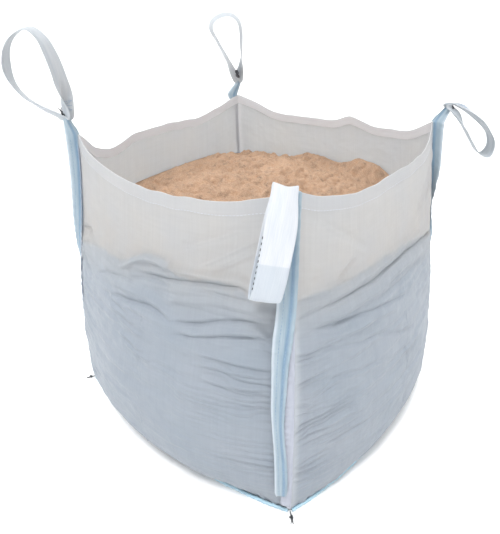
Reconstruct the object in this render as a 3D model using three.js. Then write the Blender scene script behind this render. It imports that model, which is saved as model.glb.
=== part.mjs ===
// Open-top bulk bag of woven polypropylene with four lift loops, standing full of sand.
// Millimetres, +Z up. The origin is the middle of the base, on the floor. The front panel faces -Y.
import * as THREE from "three";

// Sides and corners run anticlockwise seen from above. Side k ends at corner k.
const SIDES = ["front", "right", "back", "left"];
const CORNERS = ["front_right", "back_right", "back_left", "front_left"];
const SIDE_FACING = [[0, -1], [1, 0], [0, 1], [-1, 0]];
const CORNER_SIGN = [[1, -1], [1, 1], [-1, 1], [-1, -1]];

// The filled bag: how far each corner stands from the axis, and how far the walls belly out past it.
const CORNER_HEIGHT = [898, 902, 903, 897];
const CORNER_RADIUS = [[0, 600], [50, 612], [150, 617], [300, 614], [500, 597], [700, 572], [900, 548]];
const CORNER_FLARE = [-3, 4, 6, -6];
const CORNER_SHIFT = [0, 0, 22, 0];
const CORNER_SLACK = [0, 0, 0, -8];
const SLACK_HEIGHTS = [[0, 0], [150, 1], [400, 1], [620, 1.4], [780, 1.1], [900, 0]];
const BULGE = [[0, 78], [40, 105], [100, 124], [200, 128], [350, 118], [500, 100], [620, 82], [900, 64]];
const BULGE_SHARE = [1, 0.88, 0.95, 0.95];
const BULGE_POWER = 2.2;
// The front wall is tucked in at its foot: by how much, fading out at a height.
const FOOT_TUCK = [27, 0, 0, 0];
const FOOT_TUCK_HEIGHT = 250;
const FULL_HEIGHT = 900;
const FLARE_POWER = 1.5;
// Rim droop below the line between its two corners, by place along the side from -1 to 1.
const RIM_DROOP = [
  [[-1, 0], [-0.85, 22], [-0.5, 50], [0, 62], [0.5, 50], [0.85, 22], [1, 0]],
  [[-1, 0], [-0.8, 30], [-0.4, 50], [0, 45], [0.3, 50], [0.7, 40], [1, 0]],
  [[-1, 0], [-0.75, 50], [-0.45, 60], [-0.2, 38], [0, 62], [0.35, 66], [0.6, 62], [0.8, 30], [1, 0]],
  [[-1, 0], [-0.75, 38], [-0.45, 66], [0, 60], [0.3, 62], [0.58, 86], [0.8, 62], [0.93, 20], [1, 0]],
];

// Panels, base and fill
const PANEL_THICKNESS = 2.5;
const PANEL_COLUMNS = 12;
const PANEL_ROWS = [0, 0.02, 0.055, 0.1, 0.16, 0.24, 0.33, 0.43, 0.53, 0.62, 0.7, 0.78, 0.86, 0.93, 0.965, 1];
const HEM_ROW = 14;
const CORNER_GAP_SHARE = 0.0012;
const BASE_THICKNESS = 2.5;
const BASE_INSET = 4.5;
const SAND_INSET = 7;
const SAND_FLOOR = 3.5;
const SAND_WALL_ROW = 10;
// The mound above the wall line: share of the wall's distance from the axis, and height.
const MOUND = [[0.93, 640], [0.82, 676], [0.65, 698], [0.4, 704], [0.15, 700]];

// Sewn trim
const THREAD_WIDTH = 2.4;
const THREAD_THICKNESS = 0.9;
const TRIM_GAP = 0.5;
const BASE_SEAM_BOTTOM = 1.2;
const BASE_SEAM_TOP = 9.5;
const BASE_SEAM_DEPTH = 6;
const BASE_SEAM_GAP = 1.6;
const BASE_SEAM_END = 0.975;

// Corner webbing: turn is the angle from straight out towards the panel clockwise of the corner.
const WEBBING_WIDTH = 46;
const WEBBING_THICKNESS = 2;
const WEBBING_STANDOFF = [9, 5, 5, 5];
const WEBBING_LOW = [88, 14, 14, 14];
const WEBBING_LEVELS = [14, 50, 88, 130, 190, 280, 370, 430, 465, 500, 535, 570, 605, 640, 700, 780, 850];
const WEBBING_TURN = [
  [[0, 85], [900, 85]],
  [[0, -82], [430, -80], [650, 96], [900, 96]],
  [[0, 80], [450, 72], [640, 20], [760, 0], [900, 0]],
  [[0, 80], [450, 72], [620, 25], [750, 0], [900, 0]],
];
const WEBBING_START = [
  [[0, 12], [600, 8], [900, -16]],
  [[0, 2], [600, 2], [700, -22], [900, -22]],
  [[0, 3], [500, 3], [760, -3], [900, -3]],
  [[0, 3], [500, 3], [760, -3], [900, -3]],
];
// Where the back right webbing flips from one wall to the other it is folded narrow.
const FLIP_CORNER = 1;
const FLIP_WIDTH_SHARE = [[430, 1], [545, 0.45], [660, 1]];
const WEBBING_STITCH_SHARE = 0.67;
const NECK_END_GAP = [19, 14, 17, 11];
const NECK_MID_WIDTH = 28;
const NECK_END_WIDTH = 14;

// Seam tape: the narrow pale strip along each corner seam. At the front it lies half under the webbing.
const TAPE_WIDTH = 14;
const TAPE_START = 2.5;
const TAPE_THICKNESS = 1.2;
const TAPE_STANDOFF = 3;
const TAPE_LEVELS = [20, 45, 80, 140, 210, 300, 400, 500, 600, 700, 790, 860];
const TAPE_TOP = [870, 430, 870, 870];
const TAPE_TURN = [
  [[0, 97], [600, 97], [900, 92]],
  [[0, 80], [900, 80]],
  [[0, -80], [500, -80], [760, -95], [900, -95]],
  [[0, -80], [500, -80], [760, -95], [900, -95]],
];

// Knotted thread ends at the base corners
const KNOT_START = 13;
const KNOT_LENGTH = 28;
const KNOT_RADIUS = 4.2;
const KNOT_HEIGHT = 6;

// Lift loops. Each hinge point is [out from the axis, sideways, height] at its own corner.
const LOOP_HINGE = [[572, -24, 917], [600, 0, 955], [562, 18, 957], [566, 0, 947]];
const LOOP_THICKNESS = 3;
const LOOP_HALF_WIDTH = 34;
const LOOP_NECK_HALF_WIDTH = [27, 15, 12, 15];
const LOOP_FLARE_START = 8;
const LOOP_FLARE_END = 110;
const LOOP_SECTIONS = 44;
const FRONT_LOOP_SLANT = 0.2;
// Closed outlines from the hinge point: [across, along] in each loop's own plane.
const LOOP_OUTLINE = [
  [[0, -6], [6, -1], [13, 12], [27, 45], [39, 95], [47, 150], [50, 200], [45, 233], [32, 245],
    [19, 232], [14, 180], [13, 115], [9, 50], [1, 16], [-6, 2]],
  [[-6, -3], [24, -27], [56, -69], [89, -117], [121, -156], [148, -168], [163, -147], [158, -110],
    [130, -73], [89, -38], [43, -9], [6, 5]],
  [[0, -6], [7, 5], [21, 36], [50, 96], [79, 150], [102, 198], [92, 227], [58, 245], [24, 245],
    [-1, 226], [-12, 192], [-12, 135], [-11, 80], [-9, 25], [-6, 2]],
  [[0, -6], [8, 2], [38, 18], [72, 38], [109, 71], [131, 115], [134, 160], [122, 199], [95, 229],
    [60, 242], [31, 216], [14, 174], [1, 120], [-5, 65], [-6, 5]],
];
const TACK_DISTANCE = 48;
const TACK_SHARE = 0.86;

const COLOURS = {
  panel: 0xd2d2d0,
  base: 0xb9c0c6,
  sand: 0xc99f78,
  webbing: 0xa9c6d8,
  tape: 0xe6e8ee,
  loop: 0xeceef2,
  seam: 0xa8cbd8,
  thread: 0x6f8597,
  knot: 0x23262b,
};

// A smooth curve through [x, y] points that never overshoots them.
function profile(points) {
  const last = points.length - 1;
  const slopes = [];
  for (let i = 0; i < last; i += 1) {
    slopes.push((points[i + 1][1] - points[i][1]) / (points[i + 1][0] - points[i][0]));
  }
  const tangents = points.map((point, i) => {
    if (i === 0 || i === last) return slopes[Math.min(i, last - 1)];
    const before = slopes[i - 1];
    const after = slopes[i];
    return before * after <= 0 ? 0 : (2 * before * after) / (before + after);
  });
  return (x) => {
    if (x <= points[0][0]) return points[0][1];
    if (x >= points[last][0]) return points[last][1];
    const i = points.findIndex((point) => point[0] > x) - 1;
    const span = points[i + 1][0] - points[i][0];
    const t = (x - points[i][0]) / span;
    const rise = points[i + 1][1] - points[i][1];
    return points[i][1] + tangents[i] * span * t * (1 - t) ** 2
      + rise * t * t * (3 - 2 * t) - tangents[i + 1] * span * t * t * (1 - t);
  };
}

const cornerRadius = profile(CORNER_RADIUS);
const slackShare = profile(SLACK_HEIGHTS);
const bulgeAt = profile(BULGE);
const rimDroop = RIM_DROOP.map(profile);
const webbingTurn = WEBBING_TURN.map(profile);
const webbingStart = WEBBING_START.map(profile);
const tapeTurn = TAPE_TURN.map(profile);
const flipShare = profile(FLIP_WIDTH_SHARE);

// Unit vectors at a corner: straight out from the axis, and sideways (anticlockwise).
function outward(k) {
  return new THREE.Vector3(CORNER_SIGN[k][0], CORNER_SIGN[k][1], 0).multiplyScalar(Math.SQRT1_2);
}
function sideways(k) {
  return new THREE.Vector3(-CORNER_SIGN[k][1], CORNER_SIGN[k][0], 0).multiplyScalar(Math.SQRT1_2);
}

function cornerPoint(k, z) {
  const rise = Math.max(0, Math.min(1, z / FULL_HEIGHT)) ** FLARE_POWER;
  const radius = cornerRadius(z) + CORNER_FLARE[k] * rise + CORNER_SLACK[k] * slackShare(z);
  const point = outward(k).multiplyScalar(radius).addScaledVector(sideways(k), CORNER_SHIFT[k] * rise);
  return point.setZ(z);
}

// A point on side k: u runs from -1 to 1 along it, v from 0 at the floor to 1 at the rim.
function wallPoint(k, u, v, inset = 0) {
  const [nx, ny] = SIDE_FACING[k];
  const start = (k + 3) % 4;
  const level = (CORNER_HEIGHT[start] * (1 - u) + CORNER_HEIGHT[k] * (1 + u)) / 2;
  const z = v * (level - rimDroop[k](u));
  const tuck = FOOT_TUCK[k] * Math.max(0, 1 - z / FOOT_TUCK_HEIGHT) ** 3;
  const bulge = (bulgeAt(z) * BULGE_SHARE[k] - tuck) * (1 - Math.abs(u) ** BULGE_POWER);
  const point = cornerPoint(start, z).lerp(cornerPoint(k, z), (1 + u) / 2);
  point.x += nx * (bulge - inset) + ny * inset * u;
  point.y += ny * (bulge - inset) - nx * inset * u;
  return point;
}

function columnPlace(i) {
  return (2 * i / PANEL_COLUMNS - 1) * (1 - CORNER_GAP_SHARE);
}

// A closed mesh from points and triangles, turned so that its faces point out.
function closedMesh(points, triangles) {
  let volume = 0;
  for (const [a, b, c] of triangles) {
    volume += points[a].dot(new THREE.Vector3().crossVectors(points[b], points[c]));
  }
  const facing = volume > 0 ? triangles : triangles.map(([a, b, c]) => [a, c, b]);
  const geometry = new THREE.BufferGeometry();
  geometry.setAttribute("position", new THREE.Float32BufferAttribute(points.flatMap((p) => p.toArray()), 3));
  geometry.setIndex(facing.flat());
  geometry.computeVertexNormals();
  return geometry;
}

// Joins rings of points into one solid. An open row of rings is closed by a fan at each end.
function loft(rings, closed = false) {
  const size = rings[0].length;
  const points = rings.flat();
  const triangles = [];
  const joins = closed ? rings.length : rings.length - 1;
  for (let i = 0; i < joins; i += 1) {
    const here = i * size;
    const next = ((i + 1) % rings.length) * size;
    for (let j = 0; j < size; j += 1) {
      const k = (j + 1) % size;
      triangles.push([here + j, here + k, next + k], [here + j, next + k, next + j]);
    }
  }
  if (!closed) {
    for (const [start, flip] of [[0, false], [(rings.length - 1) * size, true]]) {
      const middle = new THREE.Vector3();
      for (let j = 0; j < size; j += 1) middle.addScaledVector(points[start + j], 1 / size);
      points.push(middle);
      for (let j = 0; j < size; j += 1) {
        const edge = [start + j, start + (j + 1) % size];
        triangles.push(flip ? [edge[0], edge[1], points.length - 1] : [edge[1], edge[0], points.length - 1]);
      }
    }
  }
  return closedMesh(points, triangles);
}

// A ring round a middle point, for flat strips. Its wide faces can be divided at a place across them.
function stripRing(middle, across, halfWidth, through, halfThickness, divide = null) {
  const places = divide === null ? [-1, 1] : [-1, divide, 1];
  const front = places.map((a) => [a, 1]);
  const back = [...places].reverse().map((a) => [a, -1]);
  return [...front, ...back].map(([a, b]) => middle.clone()
    .addScaledVector(across, a * halfWidth)
    .addScaledVector(through, b * halfThickness));
}

const bag = new THREE.Group();

function addPart(name, geometry, colour, roughness = 0.85) {
  const material = new THREE.MeshStandardMaterial({ color: colour, roughness, metalness: 0 });
  const mesh = new THREE.Mesh(geometry, material);
  mesh.name = name;
  bag.add(mesh);
}

// One panel: a bellied sheet with its outer face on the wall surface.
function panelGeometry(k) {
  const rings = [];
  for (let i = 0; i <= PANEL_COLUMNS; i += 1) {
    const outer = PANEL_ROWS.map((v) => wallPoint(k, columnPlace(i), v));
    const inner = PANEL_ROWS.map((v) => wallPoint(k, columnPlace(i), v, PANEL_THICKNESS));
    rings.push([...outer, ...inner.reverse()]);
  }
  const size = 2 * PANEL_ROWS.length;
  const points = rings.flat();
  const triangles = [];
  for (let i = 0; i < PANEL_COLUMNS; i += 1) {
    for (let j = 0; j < size; j += 1) {
      const a = i * size + j;
      const b = i * size + (j + 1) % size;
      triangles.push([a, b, b + size], [a, b + size, a + size]);
    }
  }
  for (const [start, flip] of [[0, false], [PANEL_COLUMNS * size, true]]) {
    for (let j = 0; j < PANEL_ROWS.length - 1; j += 1) {
      const [a, b] = [start + j, start + j + 1];
      const [c, d] = [start + size - 2 - j, start + size - 1 - j];
      triangles.push(flip ? [a, b, c] : [a, c, b], flip ? [a, c, d] : [a, d, c]);
    }
  }
  return closedMesh(points, triangles);
}

// A ring right round the bag at one panel row, set in from the walls.
function wallRing(row, inset) {
  const ring = [];
  for (let k = 0; k < 4; k += 1) {
    for (let i = 0; i < PANEL_COLUMNS; i += 1) {
      ring.push(wallPoint(k, 2 * i / PANEL_COLUMNS - 1, PANEL_ROWS[row], inset));
    }
  }
  return ring;
}

function basePanelGeometry() {
  const bottom = wallRing(0, BASE_INSET);
  return loft([bottom, bottom.map((p) => p.clone().setZ(BASE_THICKNESS))]);
}

function sandGeometry() {
  const lowest = wallRing(0, SAND_INSET);
  const second = wallRing(1, SAND_INSET);
  const rings = [lowest.map((p, i) => p.clone().lerp(second[i], SAND_FLOOR / second[i].z))];
  for (let row = 1; row <= SAND_WALL_ROW; row += 1) rings.push(wallRing(row, SAND_INSET));
  const wallLine = rings[rings.length - 1];
  for (const [share, height] of MOUND) {
    rings.push(wallLine.map((p) => new THREE.Vector3(p.x * share, p.y * share, height)));
  }
  return loft(rings);
}

// A row of hem stitching along the outside of a side.
function hemThreadGeometry(k) {
  const rings = [];
  const [nx, ny] = SIDE_FACING[k];
  const facing = new THREE.Vector3(nx, ny, 0);
  const v = PANEL_ROWS[HEM_ROW];
  for (let i = 0; i <= PANEL_COLUMNS; i += 1) {
    const point = wallPoint(k, columnPlace(i), v);
    const along = wallPoint(k, columnPlace(i), PANEL_ROWS[HEM_ROW + 1]).sub(point).normalize();
    point.addScaledVector(facing, TRIM_GAP + THREAD_THICKNESS / 2);
    rings.push(stripRing(point, along, THREAD_WIDTH / 2, facing, THREAD_THICKNESS / 2));
  }
  return loft(rings);
}

// The bound seam between a side and the base.
function baseSeamGeometry(k) {
  const rings = [];
  const [nx, ny] = SIDE_FACING[k];
  for (let i = 0; i <= PANEL_COLUMNS; i += 1) {
    const u = columnPlace(i) * (i % PANEL_COLUMNS === 0 ? BASE_SEAM_END : 1);
    const floor = wallPoint(k, u, PANEL_ROWS[0]);
    const above = wallPoint(k, u, PANEL_ROWS[1]);
    const ring = [];
    for (const [height, out] of [[BASE_SEAM_BOTTOM, 0], [BASE_SEAM_TOP, 0], [BASE_SEAM_TOP, 1], [BASE_SEAM_BOTTOM, 1]]) {
      const point = floor.clone().lerp(above, height / above.z);
      point.x += nx * (BASE_SEAM_GAP + out * BASE_SEAM_DEPTH);
      point.y += ny * (BASE_SEAM_GAP + out * BASE_SEAM_DEPTH);
      ring.push(point);
    }
    rings.push(ring);
  }
  return loft(rings);
}

// Directions across and through a strip that turns by an angle in degrees from straight out.
function stripDirections(k, turn) {
  const angle = THREE.MathUtils.degToRad(turn);
  const across = outward(k).multiplyScalar(Math.cos(angle)).addScaledVector(sideways(k), -Math.sin(angle));
  const through = outward(k).multiplyScalar(Math.sin(angle)).addScaledVector(sideways(k), Math.cos(angle));
  return { across, through };
}

function hingePoint(k) {
  const [out, side, height] = LOOP_HINGE[k];
  return outward(k).multiplyScalar(out).addScaledVector(sideways(k), side).setZ(height);
}

// The webbing's middle line and directions at a height on a corner.
function webbingFrame(k, z) {
  const frame = stripDirections(k, webbingTurn[k](z));
  const width = WEBBING_WIDTH * (k === FLIP_CORNER ? flipShare(z) : 1);
  const centre = cornerPoint(k, z).addScaledVector(outward(k), WEBBING_STANDOFF[k]);
  centre.addScaledVector(frame.across, webbingStart[k](z) + width / 2);
  return { ...frame, centre, width };
}

function cornerWebbingGeometry(k) {
  const divide = 2 * WEBBING_STITCH_SHARE - 1;
  const rings = WEBBING_LEVELS.filter((z) => z >= WEBBING_LOW[k]).map((z) => {
    const { centre, across, through, width } = webbingFrame(k, z);
    return stripRing(centre, across, width / 2, through, WEBBING_THICKNESS / 2, divide);
  });
  const { centre, across, through } = webbingFrame(k, CORNER_HEIGHT[k]);
  const hinge = hingePoint(k);
  const reach = hinge.clone().sub(centre);
  const end = hinge.clone().addScaledVector(reach.clone().normalize(), -NECK_END_GAP[k]);
  const neck = centre.clone().lerp(end, 0.5);
  for (const [middle, width] of [[centre, WEBBING_WIDTH], [neck, NECK_MID_WIDTH], [end, NECK_END_WIDTH]]) {
    rings.push(stripRing(middle, across, width / 2, through, WEBBING_THICKNESS / 2, divide));
  }
  return loft(rings);
}

function cornerThreadGeometry(k) {
  const rings = WEBBING_LEVELS.filter((z) => z >= WEBBING_LOW[k]).map((z) => {
    const { centre, across, through, width } = webbingFrame(k, z);
    centre.addScaledVector(across, (WEBBING_STITCH_SHARE - 0.5) * width);
    centre.addScaledVector(through, WEBBING_THICKNESS / 2 + TRIM_GAP + THREAD_THICKNESS / 2);
    return stripRing(centre, across, THREAD_WIDTH / 2, through, THREAD_THICKNESS / 2);
  });
  return loft(rings);
}

function seamTapeGeometry(k) {
  const rings = TAPE_LEVELS.filter((z) => z < TAPE_TOP[k]).map((z) => {
    const { across, through } = stripDirections(k, tapeTurn[k](z));
    const centre = cornerPoint(k, z).addScaledVector(outward(k), TAPE_STANDOFF);
    centre.addScaledVector(across, TAPE_START + TAPE_WIDTH / 2);
    return stripRing(centre, across, TAPE_WIDTH / 2, through, TAPE_THICKNESS / 2);
  });
  return loft(rings);
}

// The knotted ends of the base seam's threads, lying just off the floor.
function knotGeometry(k) {
  const across = sideways(k);
  const up = new THREE.Vector3(0, 0, 1);
  const rings = [];
  for (const [share, size] of [[0, 0.45], [0.2, 0.9], [0.45, 1], [0.7, 0.75], [1, 0.35]]) {
    const centre = cornerPoint(k, 0).addScaledVector(outward(k), KNOT_START + share * KNOT_LENGTH);
    centre.setZ(KNOT_HEIGHT);
    const ring = [];
    for (let j = 0; j < 8; j += 1) {
      const angle = (j * Math.PI) / 4;
      ring.push(centre.clone()
        .addScaledVector(across, Math.cos(angle) * KNOT_RADIUS * size)
        .addScaledVector(up, Math.sin(angle) * KNOT_RADIUS * size));
    }
    rings.push(ring);
  }
  return loft(rings);
}

// Each loop's own plane: across and along lie in it, and width stands square to it.
function loopPlane(k) {
  const up = new THREE.Vector3(0, 0, 1);
  if (k === 0) {
    const along = sideways(k).multiplyScalar(-FRONT_LOOP_SLANT);
    along.addScaledVector(up, -Math.sqrt(1 - FRONT_LOOP_SLANT ** 2));
    return { across: outward(k), along, width: new THREE.Vector3().crossVectors(outward(k), along) };
  }
  if (k === 2) return { across: sideways(k), along: up, width: outward(k) };
  return { across: outward(k), along: up, width: sideways(k) };
}

function loopSections(k) {
  const { across, along, width } = loopPlane(k);
  const outline = new THREE.CatmullRomCurve3(
    LOOP_OUTLINE[k].map(([a, b]) => new THREE.Vector3(a, b, 0)), true, "centripetal");
  const hinge = hingePoint(k);
  const sections = [];
  for (let i = 0; i < LOOP_SECTIONS; i += 1) {
    const place = outline.getPointAt(i / LOOP_SECTIONS);
    const tangent = outline.getTangentAt(i / LOOP_SECTIONS);
    const open = THREE.MathUtils.smoothstep(Math.hypot(place.x, place.y), LOOP_FLARE_START, LOOP_FLARE_END);
    sections.push({
      centre: hinge.clone().addScaledVector(across, place.x).addScaledVector(along, place.y),
      through: across.clone().multiplyScalar(tangent.y).addScaledVector(along, -tangent.x),
      width,
      halfWidth: THREE.MathUtils.lerp(LOOP_NECK_HALF_WIDTH[k], LOOP_HALF_WIDTH, open),
      distance: Math.hypot(place.x, place.y),
    });
  }
  return sections;
}

function loopGeometry(sections) {
  return loft(sections.map(({ centre, width, halfWidth, through }) => (
    stripRing(centre, width, halfWidth, through, LOOP_THICKNESS / 2))), true);
}

// A bar of stitching across the leg that comes back to the hinge last, lying on its outer face.
function tackGeometry(sections) {
  const last = sections.length - 1;
  const from = last - [...sections].reverse().findIndex(({ distance }) => distance > TACK_DISTANCE);
  const [a, b] = [sections[from - 1], sections[from]];
  const middle = a.centre.clone().add(b.centre).multiplyScalar(0.5);
  const run = b.centre.clone().sub(a.centre).normalize();
  const lift = new THREE.Vector3().crossVectors(a.width, run).normalize();
  if (lift.dot(sections[Math.floor(last / 2)].centre.clone().sub(middle)) > 0) lift.negate();
  middle.addScaledVector(lift, LOOP_THICKNESS / 2 + TRIM_GAP + THREAD_THICKNESS / 2);
  const reach = Math.min(a.halfWidth, b.halfWidth) * TACK_SHARE;
  return loft([-1, 1].map((side) => (
    stripRing(middle.clone().addScaledVector(run, side * THREAD_WIDTH), a.width, reach, lift, THREAD_THICKNESS / 2))));
}

addPart("sand_fill", sandGeometry(), COLOURS.sand, 0.95);
addPart("base_panel", basePanelGeometry(), COLOURS.base);
SIDES.forEach((side, k) => {
  addPart(`${side}_panel`, panelGeometry(k), COLOURS.panel);
  addPart(`${side}_hem_thread`, hemThreadGeometry(k), COLOURS.thread);
  addPart(`${side}_base_seam`, baseSeamGeometry(k), COLOURS.seam);
});
CORNERS.forEach((corner, k) => {
  const sections = loopSections(k);
  addPart(`${corner}_corner_webbing`, cornerWebbingGeometry(k), COLOURS.webbing);
  addPart(`${corner}_corner_thread`, cornerThreadGeometry(k), COLOURS.thread);
  addPart(`${corner}_seam_tape`, seamTapeGeometry(k), COLOURS.tape);
  addPart(`${corner}_thread_knot`, knotGeometry(k), COLOURS.knot);
  addPart(`${corner}_lift_loop`, loopGeometry(sections), COLOURS.loop, 0.8);
  addPart(`${corner}_loop_tack`, tackGeometry(sections), COLOURS.thread);
});

export default bag;
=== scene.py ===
import math

import bpy
import numpy as np
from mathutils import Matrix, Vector


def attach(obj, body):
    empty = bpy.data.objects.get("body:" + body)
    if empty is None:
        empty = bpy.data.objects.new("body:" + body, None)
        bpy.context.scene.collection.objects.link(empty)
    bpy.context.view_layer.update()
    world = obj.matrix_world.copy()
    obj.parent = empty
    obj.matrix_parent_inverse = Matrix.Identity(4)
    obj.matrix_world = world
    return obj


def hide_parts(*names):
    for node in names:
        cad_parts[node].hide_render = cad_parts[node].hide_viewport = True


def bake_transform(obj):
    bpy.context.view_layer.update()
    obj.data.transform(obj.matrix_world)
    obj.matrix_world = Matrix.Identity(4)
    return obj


# An open-top bulk bag of woven polypropylene with four webbing lift loops, three quarters full of sand.
# Metres, +Z up. Sides and corners run anticlockwise seen from above, and side k ends at corner k.
# u runs from -1 to 1 along a side. A table of pairs is a smooth curve: (height or place, value).

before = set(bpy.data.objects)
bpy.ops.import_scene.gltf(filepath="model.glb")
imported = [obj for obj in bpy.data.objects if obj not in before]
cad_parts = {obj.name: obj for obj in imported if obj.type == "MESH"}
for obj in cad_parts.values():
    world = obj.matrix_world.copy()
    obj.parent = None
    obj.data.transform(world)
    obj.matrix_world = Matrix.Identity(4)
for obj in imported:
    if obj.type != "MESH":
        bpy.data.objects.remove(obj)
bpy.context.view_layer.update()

# ---------------------------------------------------------------- camera

CAMERA_PLACE = (0.9197, -1.1951, 1.267)
CAMERA_AZIMUTH = 37.58
CAMERA_PITCH = 23.9
CAMERA_LENS = 33.71
CAMERA_SHIFT = (-0.0206, -0.0918)


def make_camera():
    data = bpy.data.cameras.new("camera")
    data.sensor_width = 36.0
    data.lens = CAMERA_LENS
    data.shift_x, data.shift_y = CAMERA_SHIFT
    data.clip_start = 0.05
    camera = bpy.data.objects.new("camera", data)
    bpy.context.scene.collection.objects.link(camera)
    camera.location = CAMERA_PLACE
    azimuth = math.radians(CAMERA_AZIMUTH)
    pitch = math.radians(CAMERA_PITCH)
    level = math.cos(pitch)
    look = Vector((-math.sin(azimuth) * level, math.cos(azimuth) * level, -math.sin(pitch)))
    camera.rotation_euler = look.to_track_quat("-Z", "Y").to_euler()
    bpy.context.scene.camera = camera


make_camera()

# ---------------------------------------------------------------- the filled bag's shape

SIDES = ("front", "right", "back", "left")
CORNERS = ("front_right", "back_right", "back_left", "front_left")
BAG = "filled_bag"
FACING = np.array([(0, -1), (1, 0), (0, 1), (-1, 0)], float)
OUTWARD = np.array([(1, -1, 0), (1, 1, 0), (-1, 1, 0), (-1, -1, 0)], float) / math.sqrt(2)
SIDEWAYS = np.stack([-OUTWARD[:, 1], OUTWARD[:, 0], 0 * OUTWARD[:, 0]], 1)
UP = np.array((0.0, 0.0, 1.0))

FULL_HEIGHT = 0.9
FLARE_POWER = 1.5
BULGE_POWER = 2.2
CORNER_HEIGHT = (0.898, 0.902, 0.903, 0.897)
CORNER_RADIUS = ((0, .600), (.05, .612), (.15, .617), (.3, .614), (.5, .597), (.7, .572), (.9, .548))
CORNER_FLARE = (-.003, .004, .006, -.006)
CORNER_SHIFT = (0, 0, .022, 0)
CORNER_SLACK = (0, 0, 0, -.008)
SLACK_HEIGHTS = ((0, 0), (.15, 1), (.4, 1), (.62, 1.4), (.78, 1.1), (.9, 0))
BULGE = ((0, .078), (.04, .105), (.1, .124), (.2, .128), (.35, .118), (.5, .100), (.62, .082), (.9, .064))
BULGE_SHARE = (1, .88, .95, .95)
# The front wall is tucked in at its foot: by how much, fading out at a height.
FOOT_TUCK = (.027, 0, 0, 0)
FOOT_TUCK_HEIGHT = 0.25
# How far each side's rim hangs below the straight line between its corners.
RIM_DROOP = (
    ((-1, 0), (-.85, .022), (-.5, .050), (0, .062), (.5, .050), (.85, .022), (1, 0)),
    ((-1, 0), (-.8, .030), (-.4, .050), (0, .045), (.3, .050), (.7, .040), (1, 0)),
    ((-1, 0), (-.75, .050), (-.45, .060), (-.2, .038), (0, .062), (.35, .066), (.6, .062), (.8, .030),
     (1, 0)),
    ((-1, 0), (-.75, .038), (-.45, .066), (0, .060), (.3, .062), (.58, .086), (.8, .062), (.93, .020),
     (1, 0)),
)


def profile(points):
    """A smooth curve through (x, y) points that never overshoots them."""
    x = np.array([p[0] for p in points], float)
    y = np.array([p[1] for p in points], float)
    slope = np.diff(y) / np.diff(x)
    tangent = np.empty(len(x))
    tangent[0], tangent[-1] = slope[0], slope[-1]
    for i in range(1, len(x) - 1):
        before, after = slope[i - 1], slope[i]
        tangent[i] = 0 if before * after <= 0 else 2 * before * after / (before + after)

    def curve(at):
        at = np.clip(np.asarray(at, float), x[0], x[-1])
        i = np.clip(np.searchsorted(x, at, side="right") - 1, 0, len(x) - 2)
        span = x[i + 1] - x[i]
        t = (at - x[i]) / span
        rise = y[i + 1] - y[i]
        return (y[i] + tangent[i] * span * t * (1 - t) ** 2 + rise * t * t * (3 - 2 * t)
                - tangent[i + 1] * span * t * t * (1 - t))

    return curve


corner_radius = profile(CORNER_RADIUS)
slack_share = profile(SLACK_HEIGHTS)
bulge_at = profile(BULGE)
rim_droop = [profile(points) for points in RIM_DROOP]


def smoothstep(low, high, x):
    t = np.clip((np.asarray(x, float) - low) / (high - low), 0, 1)
    return t * t * (3 - 2 * t)


def unit(vectors):
    return vectors / np.linalg.norm(vectors, axis=-1, keepdims=True)


def lengths_along(path):
    """The distance along a path to each of its points."""
    return np.concatenate([[0], np.cumsum(np.linalg.norm(np.diff(path, axis=0), axis=1))])


def interpolated(at, places, points):
    """Points between those that stand at the given places, one coordinate after another."""
    return np.stack([np.interp(at, places, points[:, i]) for i in range(points.shape[1])], 1)


def grid_sample(grid, row, column):
    """A grid's points at places between its rows and columns."""
    i = np.clip(row.astype(int), 0, grid.shape[0] - 2)
    j = np.clip(column.astype(int), 0, grid.shape[1] - 2)
    a, b = (row - i)[..., None], (column - j)[..., None]
    return ((grid[i, j] * (1 - b) + grid[i, j + 1] * b) * (1 - a)
            + (grid[i + 1, j] * (1 - b) + grid[i + 1, j + 1] * b) * a)


def start_corner(k):
    return (k + 3) % 4


def corner_line(k, z):
    """The corner seam's points at heights z."""
    z = np.asarray(z, float)
    rise = np.clip(z / FULL_HEIGHT, 0, 1) ** FLARE_POWER
    radius = corner_radius(z) + CORNER_FLARE[k] * rise + CORNER_SLACK[k] * slack_share(z)
    point = radius[..., None] * OUTWARD[k] + (CORNER_SHIFT[k] * rise)[..., None] * SIDEWAYS[k]
    point[..., 2] = z
    return point


def rim_height(k, u):
    start = CORNER_HEIGHT[start_corner(k)]
    return (start * (1 - u) + CORNER_HEIGHT[k] * (1 + u)) / 2 - rim_droop[k](u)


def wall(k, u, z):
    """The smooth wall of side k at places u along it and heights z."""
    u, z = np.broadcast_arrays(np.asarray(u, float), np.asarray(z, float))
    share = ((1 + u) / 2)[..., None]
    point = corner_line(start_corner(k), z) * (1 - share) + corner_line(k, z) * share
    tuck = FOOT_TUCK[k] * np.clip(1 - z / FOOT_TUCK_HEIGHT, 0, 1) ** 3
    bulge = (bulge_at(z) * BULGE_SHARE[k] - tuck) * (1 - np.abs(u) ** BULGE_POWER)
    point[..., :2] += bulge[..., None] * FACING[k]
    return point


# ---------------------------------------------------------------- smooth noise, the same on every run

NOISE_SIZE = 64
noise_table = np.random.RandomState(41).uniform(-1, 1, (NOISE_SIZE, NOISE_SIZE))


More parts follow.
